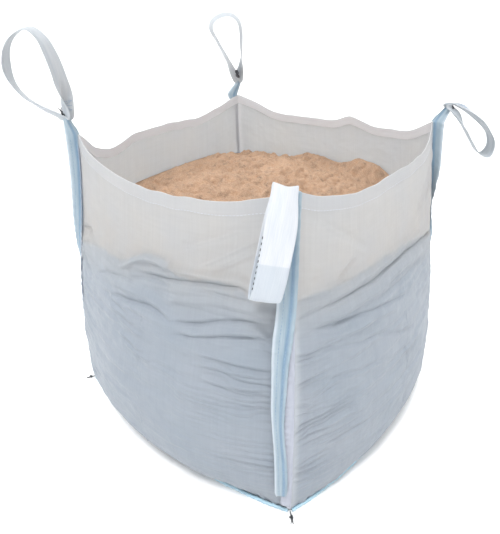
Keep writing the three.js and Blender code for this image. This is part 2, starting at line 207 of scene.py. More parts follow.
def noise(x, y, seed=0):
    """Smooth noise from -1 to 1, with features about one unit across."""
    x = np.asarray(x, float) + 13.7 * seed
    y = np.asarray(y, float) + 7.9 * seed
    xi, yi = np.floor(x).astype(int), np.floor(y).astype(int)
    fx, fy = x - xi, y - yi
    fx, fy = fx * fx * fx * (fx * (6 * fx - 15) + 10), fy * fy * fy * (fy * (6 * fy - 15) + 10)
    a = noise_table[xi % NOISE_SIZE, yi % NOISE_SIZE]
    b = noise_table[(xi + 1) % NOISE_SIZE, yi % NOISE_SIZE]
    c = noise_table[xi % NOISE_SIZE, (yi + 1) % NOISE_SIZE]
    d = noise_table[(xi + 1) % NOISE_SIZE, (yi + 1) % NOISE_SIZE]
    return (a * (1 - fx) + b * fx) * (1 - fy) + (c * (1 - fx) + d * fx) * fy


def noise_along(x, size, seed):
    """Smooth noise that changes along x only, with features of a given size."""
    return noise(x / size, 0 * x, seed)


def layered_noise(x, y, seed, layers):
    """Smooth noise with ever finer and weaker layers."""
    total = 0
    for i in range(layers):
        total = total + noise(x * 2 ** i, y * 2 ** i, seed + 3 * i) / 2 ** i
    return total


# ---------------------------------------------------------------- mesh making

def new_object(name, points, faces):
    mesh = bpy.data.meshes.new(name)
    points = np.asarray(points, float).reshape(-1, 3)
    mesh.from_pydata(points.tolist(), [], [list(map(int, f)) for f in faces])
    mesh.validate()
    mesh.polygons.foreach_set("use_smooth", [True] * len(mesh.polygons))
    mesh.update()
    made = bpy.data.objects.new(name, mesh)
    bpy.context.scene.collection.objects.link(made)
    return made


def grid_faces(rows, columns, wrap_rows=False, wrap_columns=False):
    i = np.arange(rows if wrap_rows else rows - 1)
    j = np.arange(columns if wrap_columns else columns - 1)
    i, j = np.meshgrid(i, j, indexing="ij")
    i2, j2 = (i + 1) % rows, (j + 1) % columns
    quads = np.stack([i * columns + j, i * columns + j2, i2 * columns + j2, i2 * columns + j], -1)
    return quads.reshape(-1, 4).tolist()


def fan(start, count, tip, turned=False):
    """Triangles that close a ring of points with one more."""
    edges = [(start + j, start + (j + 1) % count) for j in range(count)]
    return [[b, a, tip] if turned else [a, b, tip] for a, b in edges]


def point_values(made, name, values):
    """Stores a number or a vector for each point, for a material to read."""
    values = np.asarray(values, float)
    kind = "FLOAT_VECTOR" if values.ndim == 2 else "FLOAT"
    layer = made.data.attributes.new(name, kind, "POINT")
    layer.data.foreach_set("vector" if values.ndim == 2 else "value", values.ravel())


def grid_normals(grid):
    """Unit normals of a grid of points, toward columns cross rows."""
    normal = np.cross(np.gradient(grid, axis=1), np.gradient(grid, axis=0))
    return normal / np.maximum(np.linalg.norm(normal, axis=-1, keepdims=True), 1e-12)


def tube(path, radii, sides, squash=1.0, up=UP):
    """Rings round a path, with a point at each end, as (points, faces)."""
    path = np.asarray(path, float)
    radii = np.broadcast_to(np.asarray(radii, float), len(path))
    run = unit(np.gradient(path, axis=0))
    side = np.cross(run, up)
    weak = np.linalg.norm(side, axis=1) < 1e-3
    side[weak] = np.cross(run[weak], (1.0, 0.3, 0.0))
    side = unit(side)
    top = np.cross(side, run)
    angle = np.linspace(0, 2 * math.pi, sides, endpoint=False)
    rings = (path[:, None] + radii[:, None, None] * (np.cos(angle)[None, :, None] * side[:, None]
             + squash * np.sin(angle)[None, :, None] * top[:, None]))
    points = np.concatenate([rings.reshape(-1, 3), path[[0, -1]]])
    first, last = len(points) - 2, len(points) - 1
    ends = fan(0, sides, first, turned=True) + fan(first - sides, sides, last)
    return points, grid_faces(len(path), sides, wrap_columns=True) + ends


def joined(pieces):
    """One list of points and faces from several."""
    points, faces, start = [], [], 0
    for some, more in pieces:
        points.append(some)
        faces.extend([[index + start for index in face] for face in more])
        start += len(some)
    return np.concatenate(points), faces


STITCH_PITCH = 0.0095
STITCH_LENGTH = 0.0072
STITCH_RADIUS = 0.0007
STITCH_RING = 6
STITCH_SQUASH = 0.6
# A stitch's (place along it, share of its radius).
STITCH_SHAPE = ((-.5, .30), (-.38, .85), (0, 1.0), (.38, .85), (.5, .30))


def spread(path, step):
    """Points, directions and shares of the length, spaced evenly along a path of points."""
    lengths = lengths_along(path)
    count = max(2, int(lengths[-1] / step))
    at = (np.arange(count) + 0.5) * lengths[-1] / count
    ahead, behind = (interpolated(at + reach, lengths, path) for reach in (1e-3, -1e-3))
    return interpolated(at, lengths, path), unit(ahead - behind), at / lengths[-1]


def stitch_row(path, facing, pitch=STITCH_PITCH, length=STITCH_LENGTH, radius=STITCH_RADIUS):
    """Thread stitches along a path on cloth, each a small capsule sunk at both ends into the cloth."""
    places, runs, share = spread(path, pitch)
    lifts = interpolated(share, np.linspace(0, 1, len(path)), facing)
    radii = [radius * size for _, size in STITCH_SHAPE]
    made = []
    for place, run, lift in zip(places, runs, lifts):
        run = run / np.linalg.norm(run)
        lift = lift / np.linalg.norm(lift)
        line = [place + run * length * t + lift * radius * (0.55 - 2.2 * t * t) for t, _ in STITCH_SHAPE]
        made.append(tube(line, radii, STITCH_RING, STITCH_SQUASH, lift))
    return joined(made)


# ---------------------------------------------------------------- materials

def material(name):
    made = bpy.data.materials.new(name)
    made.use_nodes = True
    made.node_tree.nodes.clear()
    return made


class Nodes:
    """Short calls for building one material's node tree."""

    def __init__(self, made):
        self.tree = made.node_tree

    def put(self, kind, inputs=None, **settings):
        node = self.tree.nodes.new("ShaderNode" + kind)
        for name, value in settings.items():
            setattr(node, name, value)
        for name, value in (inputs or {}).items():
            if isinstance(value, bpy.types.NodeSocket):
                self.tree.links.new(value, node.inputs[name])
            else:
                node.inputs[name].default_value = value
        return node

    def attribute(self, name, output="Fac"):
        return self.put("Attribute", attribute_name=name).outputs[output]

    def object_place(self):
        return self.put("TexCoord").outputs["Object"]

    def math(self, operation, a, b=0.0, clamp=False):
        return self.put("Math", {0: a, 1: b}, operation=operation, use_clamp=clamp).outputs[0]

    def scaled(self, vector, size):
        return self.put("Mapping", {"Vector": vector, "Scale": size}).outputs["Vector"]

    def noise(self, vector, scale, detail=3.0, roughness=0.5):
        inputs = {"Vector": vector, "Scale": scale, "Detail": detail, "Roughness": roughness}
        return self.put("TexNoise", inputs).outputs["Fac"]

    def between(self, value, low, high, to_low=0.0, to_high=1.0):
        inputs = {"Value": value, "From Min": low, "From Max": high, "To Min": to_low, "To Max": to_high}
        return self.put("MapRange", inputs).outputs["Result"]

    def mix(self, share, a, b, blend="MIX"):
        node = self.put("Mix", data_type="RGBA", blend_type=blend)
        for socket, value in ((node.inputs[0], share), (node.inputs[6], a), (node.inputs[7], b)):
            if isinstance(value, bpy.types.NodeSocket):
                self.tree.links.new(value, socket)
            else:
                socket.default_value = value
        return node.outputs[2]

    def bump(self, height, distance, strength=1.0, normal=None):
        inputs = {"Height": height, "Distance": distance, "Strength": strength}
        if normal is not None:
            inputs["Normal"] = normal
        return self.put("Bump", inputs).outputs["Normal"]

    def weave(self, flat, tape):
        """Plain weave of flat tapes: height over the cloth, from cloth places in metres."""
        split = self.put("SeparateXYZ", {"Vector": flat})
        turn = math.pi / tape
        across = self.math("SINE", self.math("MULTIPLY", split.outputs[0], turn))
        along = self.math("SINE", self.math("MULTIPLY", split.outputs[1], turn))
        return self.math("MULTIPLY", across, along)

    def surface(self, colour, rough, normal, specular, sheen=0.0):
        inputs = {"Base Color": colour, "Roughness": rough, "Normal": normal, "Specular IOR Level": specular,
                  "Sheen Weight": sheen}
        return self.put("BsdfPrincipled", inputs).outputs[0]

    def sheer(self, share, colour, rough, normal, specular, sheen):
        """A sheet's surface that also lets a share of the light through."""
        front = self.surface(colour, rough, normal, specular, sheen)
        through = self.put("BsdfTranslucent", {"Color": colour, "Normal": normal}).outputs[0]
        return self.put("MixShader", {0: share, 1: front, 2: through}).outputs[0]

    def finish(self, surface):
        self.put("OutputMaterial", {"Surface": surface})


def srgb(red, green, blue):
    """A colour given as 0 to 255 on a screen, as the linear numbers a shader takes."""
    linear = []
    for value in (red, green, blue):
        value /= 255
        linear.append(value / 12.92 if value <= 0.04045 else ((value + 0.055) / 1.055) ** 2.4)
    return (*linear, 1.0)


CLOTH_TAPE = 0.0028
WEBBING_RIB = 0.0022
WEBBING_WARP = 0.0031


def cloth_material():
    """Thin white woven sheet that lets some light through: painted light makes it brighter above the sand,
    and painted shade makes it bluish grey where sand lies behind it and lets less through.
    """
    made = material("woven_cloth")
    n = Nodes(made)
    flat = n.attribute("cloth", "Vector")
    sand_shade = n.attribute("sand_shade")
    weave = n.weave(flat, CLOTH_TAPE)
    up_streaks = n.between(n.noise(n.scaled(flat, (160, 4, 1)), 1.0, 2.0), 0.3, 0.7, -0.5, 0.5)
    cross_streaks = n.between(n.noise(n.scaled(flat, (5, 120, 1)), 1.0, 2.0), 0.3, 0.7, -0.3, 0.3)
    patches = n.noise(flat, 7.0, 3.0)
    backlit_cloth = n.mix(n.between(patches, 0.3, 0.7), srgb(189, 190, 190), srgb(185, 188, 191))
    sand_shaded_cloth = n.mix(n.between(patches, 0.3, 0.7), srgb(138, 147, 157), srgb(144, 151, 160))
    # painted light and shade: paler cloth where light would come through, bluish grey cloth where sand behind
    # it shades it
    colour = n.mix(sand_shade, backlit_cloth, sand_shaded_cloth)
    tone = n.between(n.math("ADD", up_streaks, cross_streaks), -0.8, 0.8, 0.965, 1.035)
    colour = n.mix(1.0, colour, n.put("CombineXYZ", {"X": tone, "Y": tone, "Z": tone}).outputs[0], "MULTIPLY")
    dusty = n.between(n.noise(flat, 18.0, 5.0, 0.65), 0.42, 0.75)
    colour = n.mix(n.math("MULTIPLY", n.attribute("dust"), dusty, clamp=True), colour, srgb(205, 184, 158))
    # painted light: a whiter tone on the hem, a painted highlight over the rim, and lighter cloth beside the
    # corner seams
    colour = n.mix(n.attribute("hem"), colour, srgb(236, 237, 240))
    crease = n.noise(n.scaled(flat, (38, 38, 1)), 1.0, 5.0, 0.6)
    normal = n.bump(crease, 0.0022, 0.6)
    normal = n.bump(weave, 0.00016, 0.75, normal)
    rough = n.between(n.noise(flat, 30.0, 3.0), 0.3, 0.7, 0.52, 0.66)
    see_through = n.between(sand_shade, 0.0, 1.0, 0.42, 0.05)
    n.finish(n.sheer(see_through, colour, rough, normal, 0.35, 0.08))
    return made


def webbing_material(name, light, deep, stripe_and_shade, stripe_share=0.0, glow=0.10):
    """Woven strap: ribs across its run, fibres along it and a coloured line where stripe is above 0; on the
    hanging loop that line's colour is painted shade.

    Where stripe is below 0 the strap is paler. glow is the share of light that comes through it.
    """
    made = material(name)
    n = Nodes(made)
    flat = n.attribute("cloth", "Vector")
    split = n.put("SeparateXYZ", {"Vector": flat})
    ribs = n.math("SINE", n.math("MULTIPLY", split.outputs[1], math.tau / WEBBING_RIB))
    warp = n.math("SINE", n.math("MULTIPLY", split.outputs[0], math.tau / WEBBING_WARP))
    patches = n.noise(n.scaled(flat, (60, 9, 1)), 1.0, 4.0)
    fibres = n.noise(n.scaled(flat, (420, 16, 1)), 1.0, 2.0)
    colour = n.mix(n.between(patches, 0.3, 0.7), light, deep)
    colour = n.mix(n.between(fibres, 0.35, 0.75, 0.0, 0.30), colour, stripe_and_shade)
    line = n.attribute("stripe_and_shade")
    # the coloured line, which on the hanging loop is painted shade
    colour = n.mix(n.math("MULTIPLY", line, stripe_share, clamp=True), colour, stripe_and_shade)
    colour = n.mix(n.math("MULTIPLY", line, -0.6, clamp=True), colour, srgb(218, 224, 232))
    height = n.math("ADD", n.math("MULTIPLY", ribs, 0.6), n.math("MULTIPLY", warp, 0.4))
    normal = n.bump(height, 0.00035, 0.8)
    rough = n.between(fibres, 0.3, 0.7, 0.48, 0.62)
    n.finish(n.sheer(glow, colour, rough, normal, 0.4, 0.15))
    return made


def sand_material():
    """Damp orange-brown sand: warm and dull patches, dark crumbs and pale grains."""
    made = material("damp_sand")
    n = Nodes(made)
    place = n.object_place()
    broad = n.noise(place, 6.0, 4.0, 0.6)
    middle = n.noise(place, 38.0, 5.0, 0.65)
    grain = n.noise(place, 420.0, 3.0, 0.7)
    colour = n.mix(n.between(broad, 0.35, 0.65), srgb(155, 125, 104), srgb(178, 146, 123))
    colour = n.mix(n.between(middle, 0.40, 0.7, 0.0, 0.50), colour, srgb(194, 148, 112))
    colour = n.mix(n.between(middle, 0.30, 0.43, 0.85, 0.0), colour, srgb(102, 77, 60))
    colour = n.mix(n.between(grain, 0.40, 0.66, 0.0, 0.60), colour, srgb(222, 198, 172))
    cells = n.put("TexVoronoi", {"Vector": place, "Scale": 300.0}, feature="F1").outputs["Distance"]
    colour = n.mix(n.between(cells, 0.0, 0.16, 0.6, 0.0), colour, srgb(96, 72, 56))
    height = n.math("ADD", grain, n.math("MULTIPLY", n.noise(place, 120.0, 4.0, 0.6), 1.6))
    rough = n.between(grain, 0.3, 0.7, 0.86, 0.97)
    n.finish(n.surface(colour, rough, n.bump(height, 0.0034), 0.2))
    return made


def thread_material(name, light, deep, roughness=0.55):
    """Twisted thread, fuzzy with fine plies."""
    made = material(name)
    n = Nodes(made)
    place = n.object_place()
    plies = n.noise(n.scaled(place, (900, 900, 900)), 1.0, 2.0)
    patches = n.noise(place, 60.0, 3.0)
    colour = n.mix(n.between(patches, 0.3, 0.7), light, deep)
    normal = n.bump(plies, 0.0003, 0.8)
    rough = n.between(plies, 0.3, 0.7, roughness - 0.08, roughness + 0.08)
    n.finish(n.surface(colour, rough, normal, 0.35, 0.2))
    return made


cloth = cloth_material()
blue_webbing = webbing_material(
    "blue_webbing", srgb(179, 194, 202), srgb(160, 179, 191), srgb(118, 150, 178), 0.80, glow=0.18)
pale_webbing = webbing_material(
    "pale_webbing", srgb(220, 222, 226), srgb(207, 212, 219), srgb(176, 188, 200), 0.30)
grey_webbing = webbing_material(
    "grey_webbing", srgb(199, 204, 208), srgb(186, 192, 198), srgb(164, 176, 188), 0.30)
white_tape = webbing_material(
    "white_tape", srgb(194, 198, 210), srgb(182, 187, 200), srgb(170, 178, 196), glow=0.20)
thin_tape = webbing_material(
    "thin_tape", srgb(214, 218, 226), srgb(204, 209, 219), srgb(194, 202, 214), glow=0.80)
seam_webbing = webbing_material("seam_binding", srgb(200, 226, 238), srgb(176, 212, 230), srgb(146, 192, 216))
hem_thread_look = thread_material("hem_thread", srgb(214, 219, 226), srgb(196, 204, 216))
sand_look = sand_material()
thread_look = thread_material("stitch_thread", srgb(150, 172, 196), srgb(122, 148, 178))
knot_look = thread_material("knot_thread", srgb(58, 60, 66), srgb(34, 36, 42), 0.6)


def finish_piece(made, look, nodes, body=None, bend=None):
    """Gives a piece its material and hides the nodes it stands for; it moves with its body unless a bend is
    given, and then its place is only baked into its points.
    """
    made.data.materials.clear()
    made.data.materials.append(look)
    if nodes:
        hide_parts(*nodes)
    if bend is None:
        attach(made, body)
    else:
        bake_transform(made)


# ---------------------------------------------------------------- panels

PANEL_COLUMNS = 241
PANEL_ROWS = 231
LOWEST_CLOTH = 0.0004
RIM_WAVE = 0.0020
# A panel's flat width and height, and the height it stands to once filled.
FLAT_WIDTH = 0.90
FLAT_HEIGHT = 0.92
STANDING_HEIGHT = 0.86
HEM_DEPTH = 0.030
HEM_FOLD_RADIUS = 0.0014
HEM_GAP = 0.0016
HEM_ROWS = 12
# How much painted light, as a whiter tone, shows on the hem, over the rim as a painted highlight and beside
# the corner seams; the hem inside gets all of it.
HEM_LIGHT = 0.2
RIM_HIGHLIGHT = 0.5
SEAM_LIGHT = 0.25
SEAM_REACH = 0.030
FOLD_STEPS = 6
# Just under the fill line the sand presses only loosely, so the painted shade from the sand behind the cloth
# is weaker there.
LOOSE_SAND_SHADE = 0.66
LOOSE_DEPTH = 0.13

# How high the sand presses on each wall, by place along the side.
FILL_LINE = (
    ((-1, .558), (-.75, .588), (-.52, .612), (-.33, .617), (-.18, .630), (-.10, .650), (0, .668), (.11, .675),
     (.20, .668), (.25, .646), (.33, .643), (.45, .652), (.61, .664), (.70, .652), (.78, .636), (.9, .645),
     (1, .648)),
    ((-1, .648), (-.7, .645), (-.4, .652), (-.1, .648), (.2, .628), (.6, .578), (1, .530)),
    ((-1, .525), (-.80, .585), (-.60, .655), (-.41, .692), (-.28, .694), (-.06, .664), (.26, .678),
     (.53, .642), (.9, .645), (1, .640)),
    ((-1, .640), (-.70, .655), (-.40, .652), (0, .645), (.32, .641), (.70, .600), (1, .552)),
)
# Folds laid one by one: side, height of the fold out of the wall (below 0 for a crease), half width, how much
# sharper the lower side is, and the path in (u, z).
FOLDS = (
    # the flap over the sand's edge on the front
    (0, .0095, .016, .62, ((-.30, .590), (-.18, .612), (-.10, .638), (.00, .656), (.11, .663), (.24, .656),
                           (.30, .640))),
    (0, -.0080, .008, .4, ((-.12, .600), (.05, .618), (.20, .630), (.36, .638), (.50, .648), (.66, .656),
                           (.80, .640))),
    (0, .0055, .012, .4, ((.20, .652), (.34, .660), (.50, .669), (.66, .676), (.80, .664))),
    (0, -.0050, .007, .4, ((-.16, .584), (.00, .604), (.14, .616), (.26, .612))),
    (0, .0050, .013, .3, ((-.06, .588), (.14, .602), (.34, .618), (.50, .630), (.64, .634))),
    (0, -.0055, .007, .4, ((.40, .626), (.52, .632), (.64, .630), (.80, .626))),
    # pulls from the loop, in the slack cloth
    (0, .0048, .012, .3, ((.36, .672), (.52, .716), (.70, .768), (.86, .812))),
    (0, -.0036, .009, .3, ((.44, .664), (.60, .706), (.76, .752), (.90, .790))),
    (0, .0036, .012, .3, ((.20, .700), (.40, .742), (.60, .784), (.74, .812))),
    # the long folds under the loop
    (0, .0070, .022, .4, ((.10, .560), (.30, .590), (.52, .606), (.74, .612), (.93, .604))),
    (0, -.0070, .009, .5, ((.20, .520), (.44, .540), (.56, .558), (.68, .572), (.93, .590))),
    (0, .0052, .016, .4, ((.30, .500), (.50, .522), (.68, .546), (.93, .566))),
    (0, -.0058, .009, .5, ((.20, .480), (.38, .500), (.60, .524), (.76, .540), (.94, .552))),
    # the slanting creases to the left of it
    (0, -.0075, .011, .4, ((-.46, .492), (-.30, .506), (-.10, .523), (.06, .535), (.18, .530), (.28, .512))),
    (0, .0058, .018, .4, ((-.42, .530), (-.20, .548), (.02, .562), (.22, .552))),
    (0, -.0045, .009, .4, ((-.60, .520), (-.44, .548), (-.24, .572), (-.06, .580))),
    (0, .0060, .016, .4, ((-.97, .548), (-.88, .584), (-.74, .606), (-.60, .608))),
    (0, -.0065, .009, .4, ((-.99, .600), (-.90, .612), (-.78, .630), (-.68, .626))),
    (0, -.0060, .012, .3, ((-.99, .560), (-.90, .528), (-.78, .505), (-.66, .500))),
    # short sharp creases in the middle of the front, and level ones beside the webbing
    (0, .0054, .010, .5, ((-.40, .500), (-.26, .497), (-.10, .488))),
    (0, .0054, .010, .5, ((-.36, .478), (-.22, .474), (-.06, .466))),
    (0, .0050, .010, .5, ((-.28, .456), (-.16, .452), (.02, .444))),
    (0, .0050, .009, .5, ((-.24, .414), (-.10, .411), (.06, .402))),
    (0, .0054, .009, .5, ((-.16, .394), (-.02, .391), (.12, .384))),
    (0, .0050, .010, .5, ((.40, .468), (.62, .472), (.94, .470))),
    (0, .0050, .010, .5, ((.44, .440), (.66, .444), (.94, .446))),
    (0, .0044, .010, .5, ((.50, .404), (.70, .407), (.94, .410))),
    # long creases fanning down from the back right corner on the right side
    (1, -.0080, .010, .6, ((-.985, .592), (-.83, .600), (-.68, .607), (-.46, .612), (-.23, .616), (.06, .612),
                           (.40, .594), (.70, .566), (.96, .520))),
    (1, .0070, .018, .4, ((-.97, .560), (-.72, .572), (-.42, .582), (-.10, .584), (.20, .576), (.55, .548))),
    (1, -.0050, .010, .5, ((-.97, .552), (-.77, .554), (-.48, .542), (-.15, .512), (.15, .482))),
    (1, .0042, .016, .4, ((-.96, .528), (-.70, .524), (-.40, .508), (-.05, .476))),
    (1, -.0038, .010, .4, ((-.96, .512), (-.70, .492), (-.45, .458), (-.11, .403), (.20, .370))),
    (1, -.0045, .010, .3, ((-.66, .655), (-.56, .684), (-.50, .700))),
    (1, -.0040, .009, .4, ((-.98, .640), (-.86, .634), (-.70, .632))),
    (1, .0045, .013, .4, ((-.96, .622), (-.70, .626), (-.30, .640), (.10, .640), (.45, .612))),
    (1, .0036, .012, .4, ((-.80, .402), (-.40, .372), (.00, .330), (.30, .312))),
    (1, -.0036, .009, .4, ((-.95, .430), (-.60, .398), (-.20, .350), (.20, .318))),
    (1, .0052, .014, .3, ((.96, .850), (.84, .812), (.66, .760), (.44, .700), (.24, .664))),
    (1, -.0044, .011, .3, ((.97, .820), (.86, .780), (.72, .730), (.56, .680))),
    (1, .0040, .014, .3, ((.96, .780), (.90, .720), (.82, .660), (.76, .620))),
    (1, .0036, .014, .3, ((-.90, .850), (-.72, .800), (-.52, .740), (-.36, .690))),
    # the sides that face away
    (2, .0055, .018, .4, ((-.90, .500), (-.60, .570), (-.30, .620), (.00, .640), (.25, .646), (.50, .640))),
    (2, -.0065, .011, .5, ((-.95, .460), (-.60, .520), (-.25, .580), (.10, .610), (.45, .614), (.80, .600))),
    (2, -.0050, .011, .4, ((.95, .600), (.60, .604), (.25, .580), (-.10, .540))),
    (2, .0045, .015, .4, ((.94, .570), (.55, .566), (.20, .536), (-.20, .500))),
    (2, -.0040, .010, .4, ((-.92, .430), (-.50, .450), (-.10, .420), (.30, .405))),
    (3, .0055, .017, .4, ((-.80, .610), (-.45, .634), (-.10, .640), (.20, .634), (.48, .610))),
    (3, -.0065, .011, .5, ((-.96, .580), (-.55, .602), (-.15, .610), (.25, .596), (.60, .560), (.90, .522))),
    (3, -.0050, .010, .4, ((.96, .520), (.60, .540), (.20, .560), (-.25, .566))),
    (3, .0045, .015, .4, ((.95, .490), (.55, .508), (.15, .526), (-.30, .530))),
    (3, -.0040, .010, .4, ((-.94, .520), (-.50, .500), (-.10, .450), (.25, .420))),
)
fill_line = [profile(points) for points in FILL_LINE]
FOLD_STRENGTH = 1.3
FOLD_NARROWING = 0.85
CREASE_STRENGTH = 1.1
CREASE_NARROWING = 0.62
# How far each kind of unevenness stands out of the smooth wall, and the pitch of the regular ones.
LUMP_HEIGHT = 0.0040
SMALL_LUMP_HEIGHT = 0.0016
FLUTE_HEIGHT = 0.0050
PULL_HEIGHT = 0.0022
SHELF_HEIGHT = 0.0030
RIPPLE_HEIGHT = 0.0031
RIPPLE_PITCH = 0.0175
WAVE_HEIGHT = 0.0024
SEAM_PUCKER_HEIGHT = 0.0013
SEAM_PUCKER_PITCH = 0.027
FOOT_PUCKER_HEIGHT = 0.0026
FOOT_PUCKER_PITCH = 0.034
CRUMPLE_HEIGHT = 0.0007


def fold_height(x, y, path, height, half_width, sharpness):
    """How far one fold stands out at cloth places x, y: rounded above its line, sharper below it."""
    nearest = np.full(x.shape, 1e9)
    signed = np.zeros(x.shape)
    place = np.zeros(x.shape)
    path = np.array(path, float)
    lengths = lengths_along(path)
    for i in range(len(path) - 1):
        step = path[i + 1] - path[i]
        t = np.clip(((x - path[i, 0]) * step[0] + (y - path[i, 1]) * step[1]) / (step @ step), 0, 1)
        dx, dy = x - path[i, 0] - t * step[0], y - path[i, 1] - t * step[1]
        gap = np.hypot(dx, dy)
        closer = gap < nearest
        nearest = np.where(closer, gap, nearest)
        signed = np.where(closer, np.sign(dy) * gap, signed)
        place = np.where(closer, (lengths[i] + t * (lengths[i + 1] - lengths[i])) / lengths[-1], place)
    width = np.where(signed > 0, half_width, half_width * (1 - sharpness))
    ends = smoothstep(0, 0.22, place) * (1 - smoothstep(0.78, 1, place))
    if height > 0:
        strength, narrowing = FOLD_STRENGTH, FOLD_NARROWING
    else:
        strength, narrowing = CREASE_STRENGTH, CREASE_NARROWING
    return strength * height * np.exp(-(signed / (narrowing * width)) ** 2) * ends


def cloth_relief(k, u, z):
    """How far the cloth of side k stands out of the smooth wall: bulges, folds, puckers and ripples."""
    width = np.linalg.norm(corner_line(k, z) - corner_line(start_corner(k), z), axis=-1) / 2
    mid_width = float(width.mean())
    x = u * width
    from_seam = np.abs(x - np.sign(u) * width)
    above = z - fill_line[k](u)
    full = 1 - smoothstep(-0.025, 0.030, above)
    seed = 11 * k
    # sand pressing in lumps behind the filled cloth
    out = full * LUMP_HEIGHT * layered_noise(x / 0.16, z / 0.14, seed + 1, 2)
    out += full * SMALL_LUMP_HEIGHT * layered_noise(x / 0.055, z / 0.045, seed + 2, 2)
    # slack cloth above the sand: soft upright flutes and slanting pulls from the loops
    sway = 0.25 * noise(z / 0.2, x / 0.3, seed)
    out += (1 - full) * FLUTE_HEIGHT * noise(x / 0.21 + sway, z / 0.55, seed + 3)
    for lean, layer in ((1, 4), (-1, 5)):
        pull = noise((x + lean * 0.5 * z) / 0.085, (z - lean * 0.4 * x) / 0.30, seed + layer)
        out += (1 - full) * PULL_HEIGHT * pull
    # the shelf where the cloth leaves the sand
    out += SHELF_HEIGHT * np.exp(-((above + 0.028) / 0.022) ** 2)
    bend = 0.012 * noise(x / 0.14, z / 0.16, seed + 6)
    for side, height, half_width, sharpness, path in FOLDS:
        if side == k:
            metres = [(pu * mid_width, pz) for pu, pz in path]
            out += fold_height(x + 0.4 * bend, z + 0.6 * bend, metres, height, half_width, sharpness)
    # fine level ripples gathered at the corner seams, strongest in the middle of the height
    reach = 0.13 + 0.13 * (0.5 + 0.5 * noise_along(z, 0.09, seed + 7 + (u > 0)))
    near = np.exp(-(from_seam / reach) ** 2)
    band = smoothstep(0.05, 0.16, z) * (1 - smoothstep(0.50, 0.62, z))
    band = band + 0.35 * (1 - smoothstep(0.03, 0.10, z))
    phase = (z + 0.10 * x * np.sign(u) * (z - 0.35)) / RIPPLE_PITCH
    phase = phase + 0.8 * noise(x / 0.07, z / 0.05, seed + 8)
    phase = phase + 0.35 * noise(x / 0.22, z / 0.014, seed + 9)
    patchy = 0.50 + 0.80 * noise(x / 0.16, z / 0.035, seed + 10)
    out += RIPPLE_HEIGHT * np.sin(math.tau * phase) * near * band * np.clip(patchy, 0, 1.2)
    # long shallow level waves further in
    out += full * WAVE_HEIGHT * noise(x / 0.24, z / 0.013, seed + 12) * smoothstep(0.04, 0.15, z)
    # puckers right at the seam and along the base
    near = (0.35 + 0.65 * full) * np.exp(-(from_seam / 0.020) ** 2)
    phase = z / SEAM_PUCKER_PITCH + 0.6 * noise_along(z, 0.05, seed + 13)
    out += SEAM_PUCKER_HEIGHT * near * np.sin(math.tau * phase)
    phase = x / FOOT_PUCKER_PITCH + 0.7 * noise_along(x, 0.06, seed + 14)
    out += FOOT_PUCKER_HEIGHT * np.exp(-(z / 0.030) ** 2) * np.sin(math.tau * phase)
    # fine crumple everywhere
    out += CRUMPLE_HEIGHT * layered_noise((x + 0.3 * z) / 0.026, (z - 0.2 * x) / 0.022, seed + 15, 2)
    # held flat at the corner seams and nearly so at the floor
    held = 1 - np.abs(u) ** 40
    return out * held * (0.25 + 0.75 * smoothstep(0.0, 0.012, z))


def turned_toward(normals, facing):
    """A grid of normals, all turned over if they mostly point away from a direction."""
    return -normals if (normals @ facing).mean() < 0 else normals


def level_facing(k):
    return np.array((*FACING[k], 0.0))


def panel_grid(k):
    """The outer face of side k as grids: points, unit normals, u, share of the height, and height."""
    u, share = np.meshgrid(np.linspace(-1, 1, PANEL_COLUMNS), np.linspace(0, 1, PANEL_ROWS))
    z = share * rim_height(k, u)
    smooth = wall(k, u, z)
    facing = level_facing(k)
    normal = turned_toward(grid_normals(smooth), facing)
    # the hem is stiffer than the cloth, and its edge waves gently
    rim_band = smoothstep(0.90, 0.99, share)
    out = cloth_relief(k, u, z) * (1 - 0.6 * rim_band)
    points = smooth + out[..., None] * normal
    points[..., 2] += rim_band * RIM_WAVE * noise_along(u * FLAT_WIDTH / 2, 0.05, 50 + k)
    points[..., 2] = np.maximum(points[..., 2], LOWEST_CLOTH)
    return points, turned_toward(grid_normals(points), facing), u, share, z


def sand_shade_share(k, u, z):
    """How firmly sand presses behind side k's cloth, from 0 to 1, with an uneven edge along the fill line;
    the cloth paints shade in its colour by it.
    """
    above = z - fill_line[k](u) + 0.003 * noise(u / 0.13, z / 0.04, 60 + k)
    above = above + 0.002 * noise(u / 0.04, z / 0.02, 64 + k)
    soft = 0.006 + 0.022 * np.clip(noise(u / 0.23, z / 0.2, 68 + k), 0, 1)
    pressed = LOOSE_SAND_SHADE + (1 - LOOSE_SAND_SHADE) * smoothstep(0, LOOSE_DEPTH, -above)
    return (1 - smoothstep(-1, 1, above / soft)) * pressed


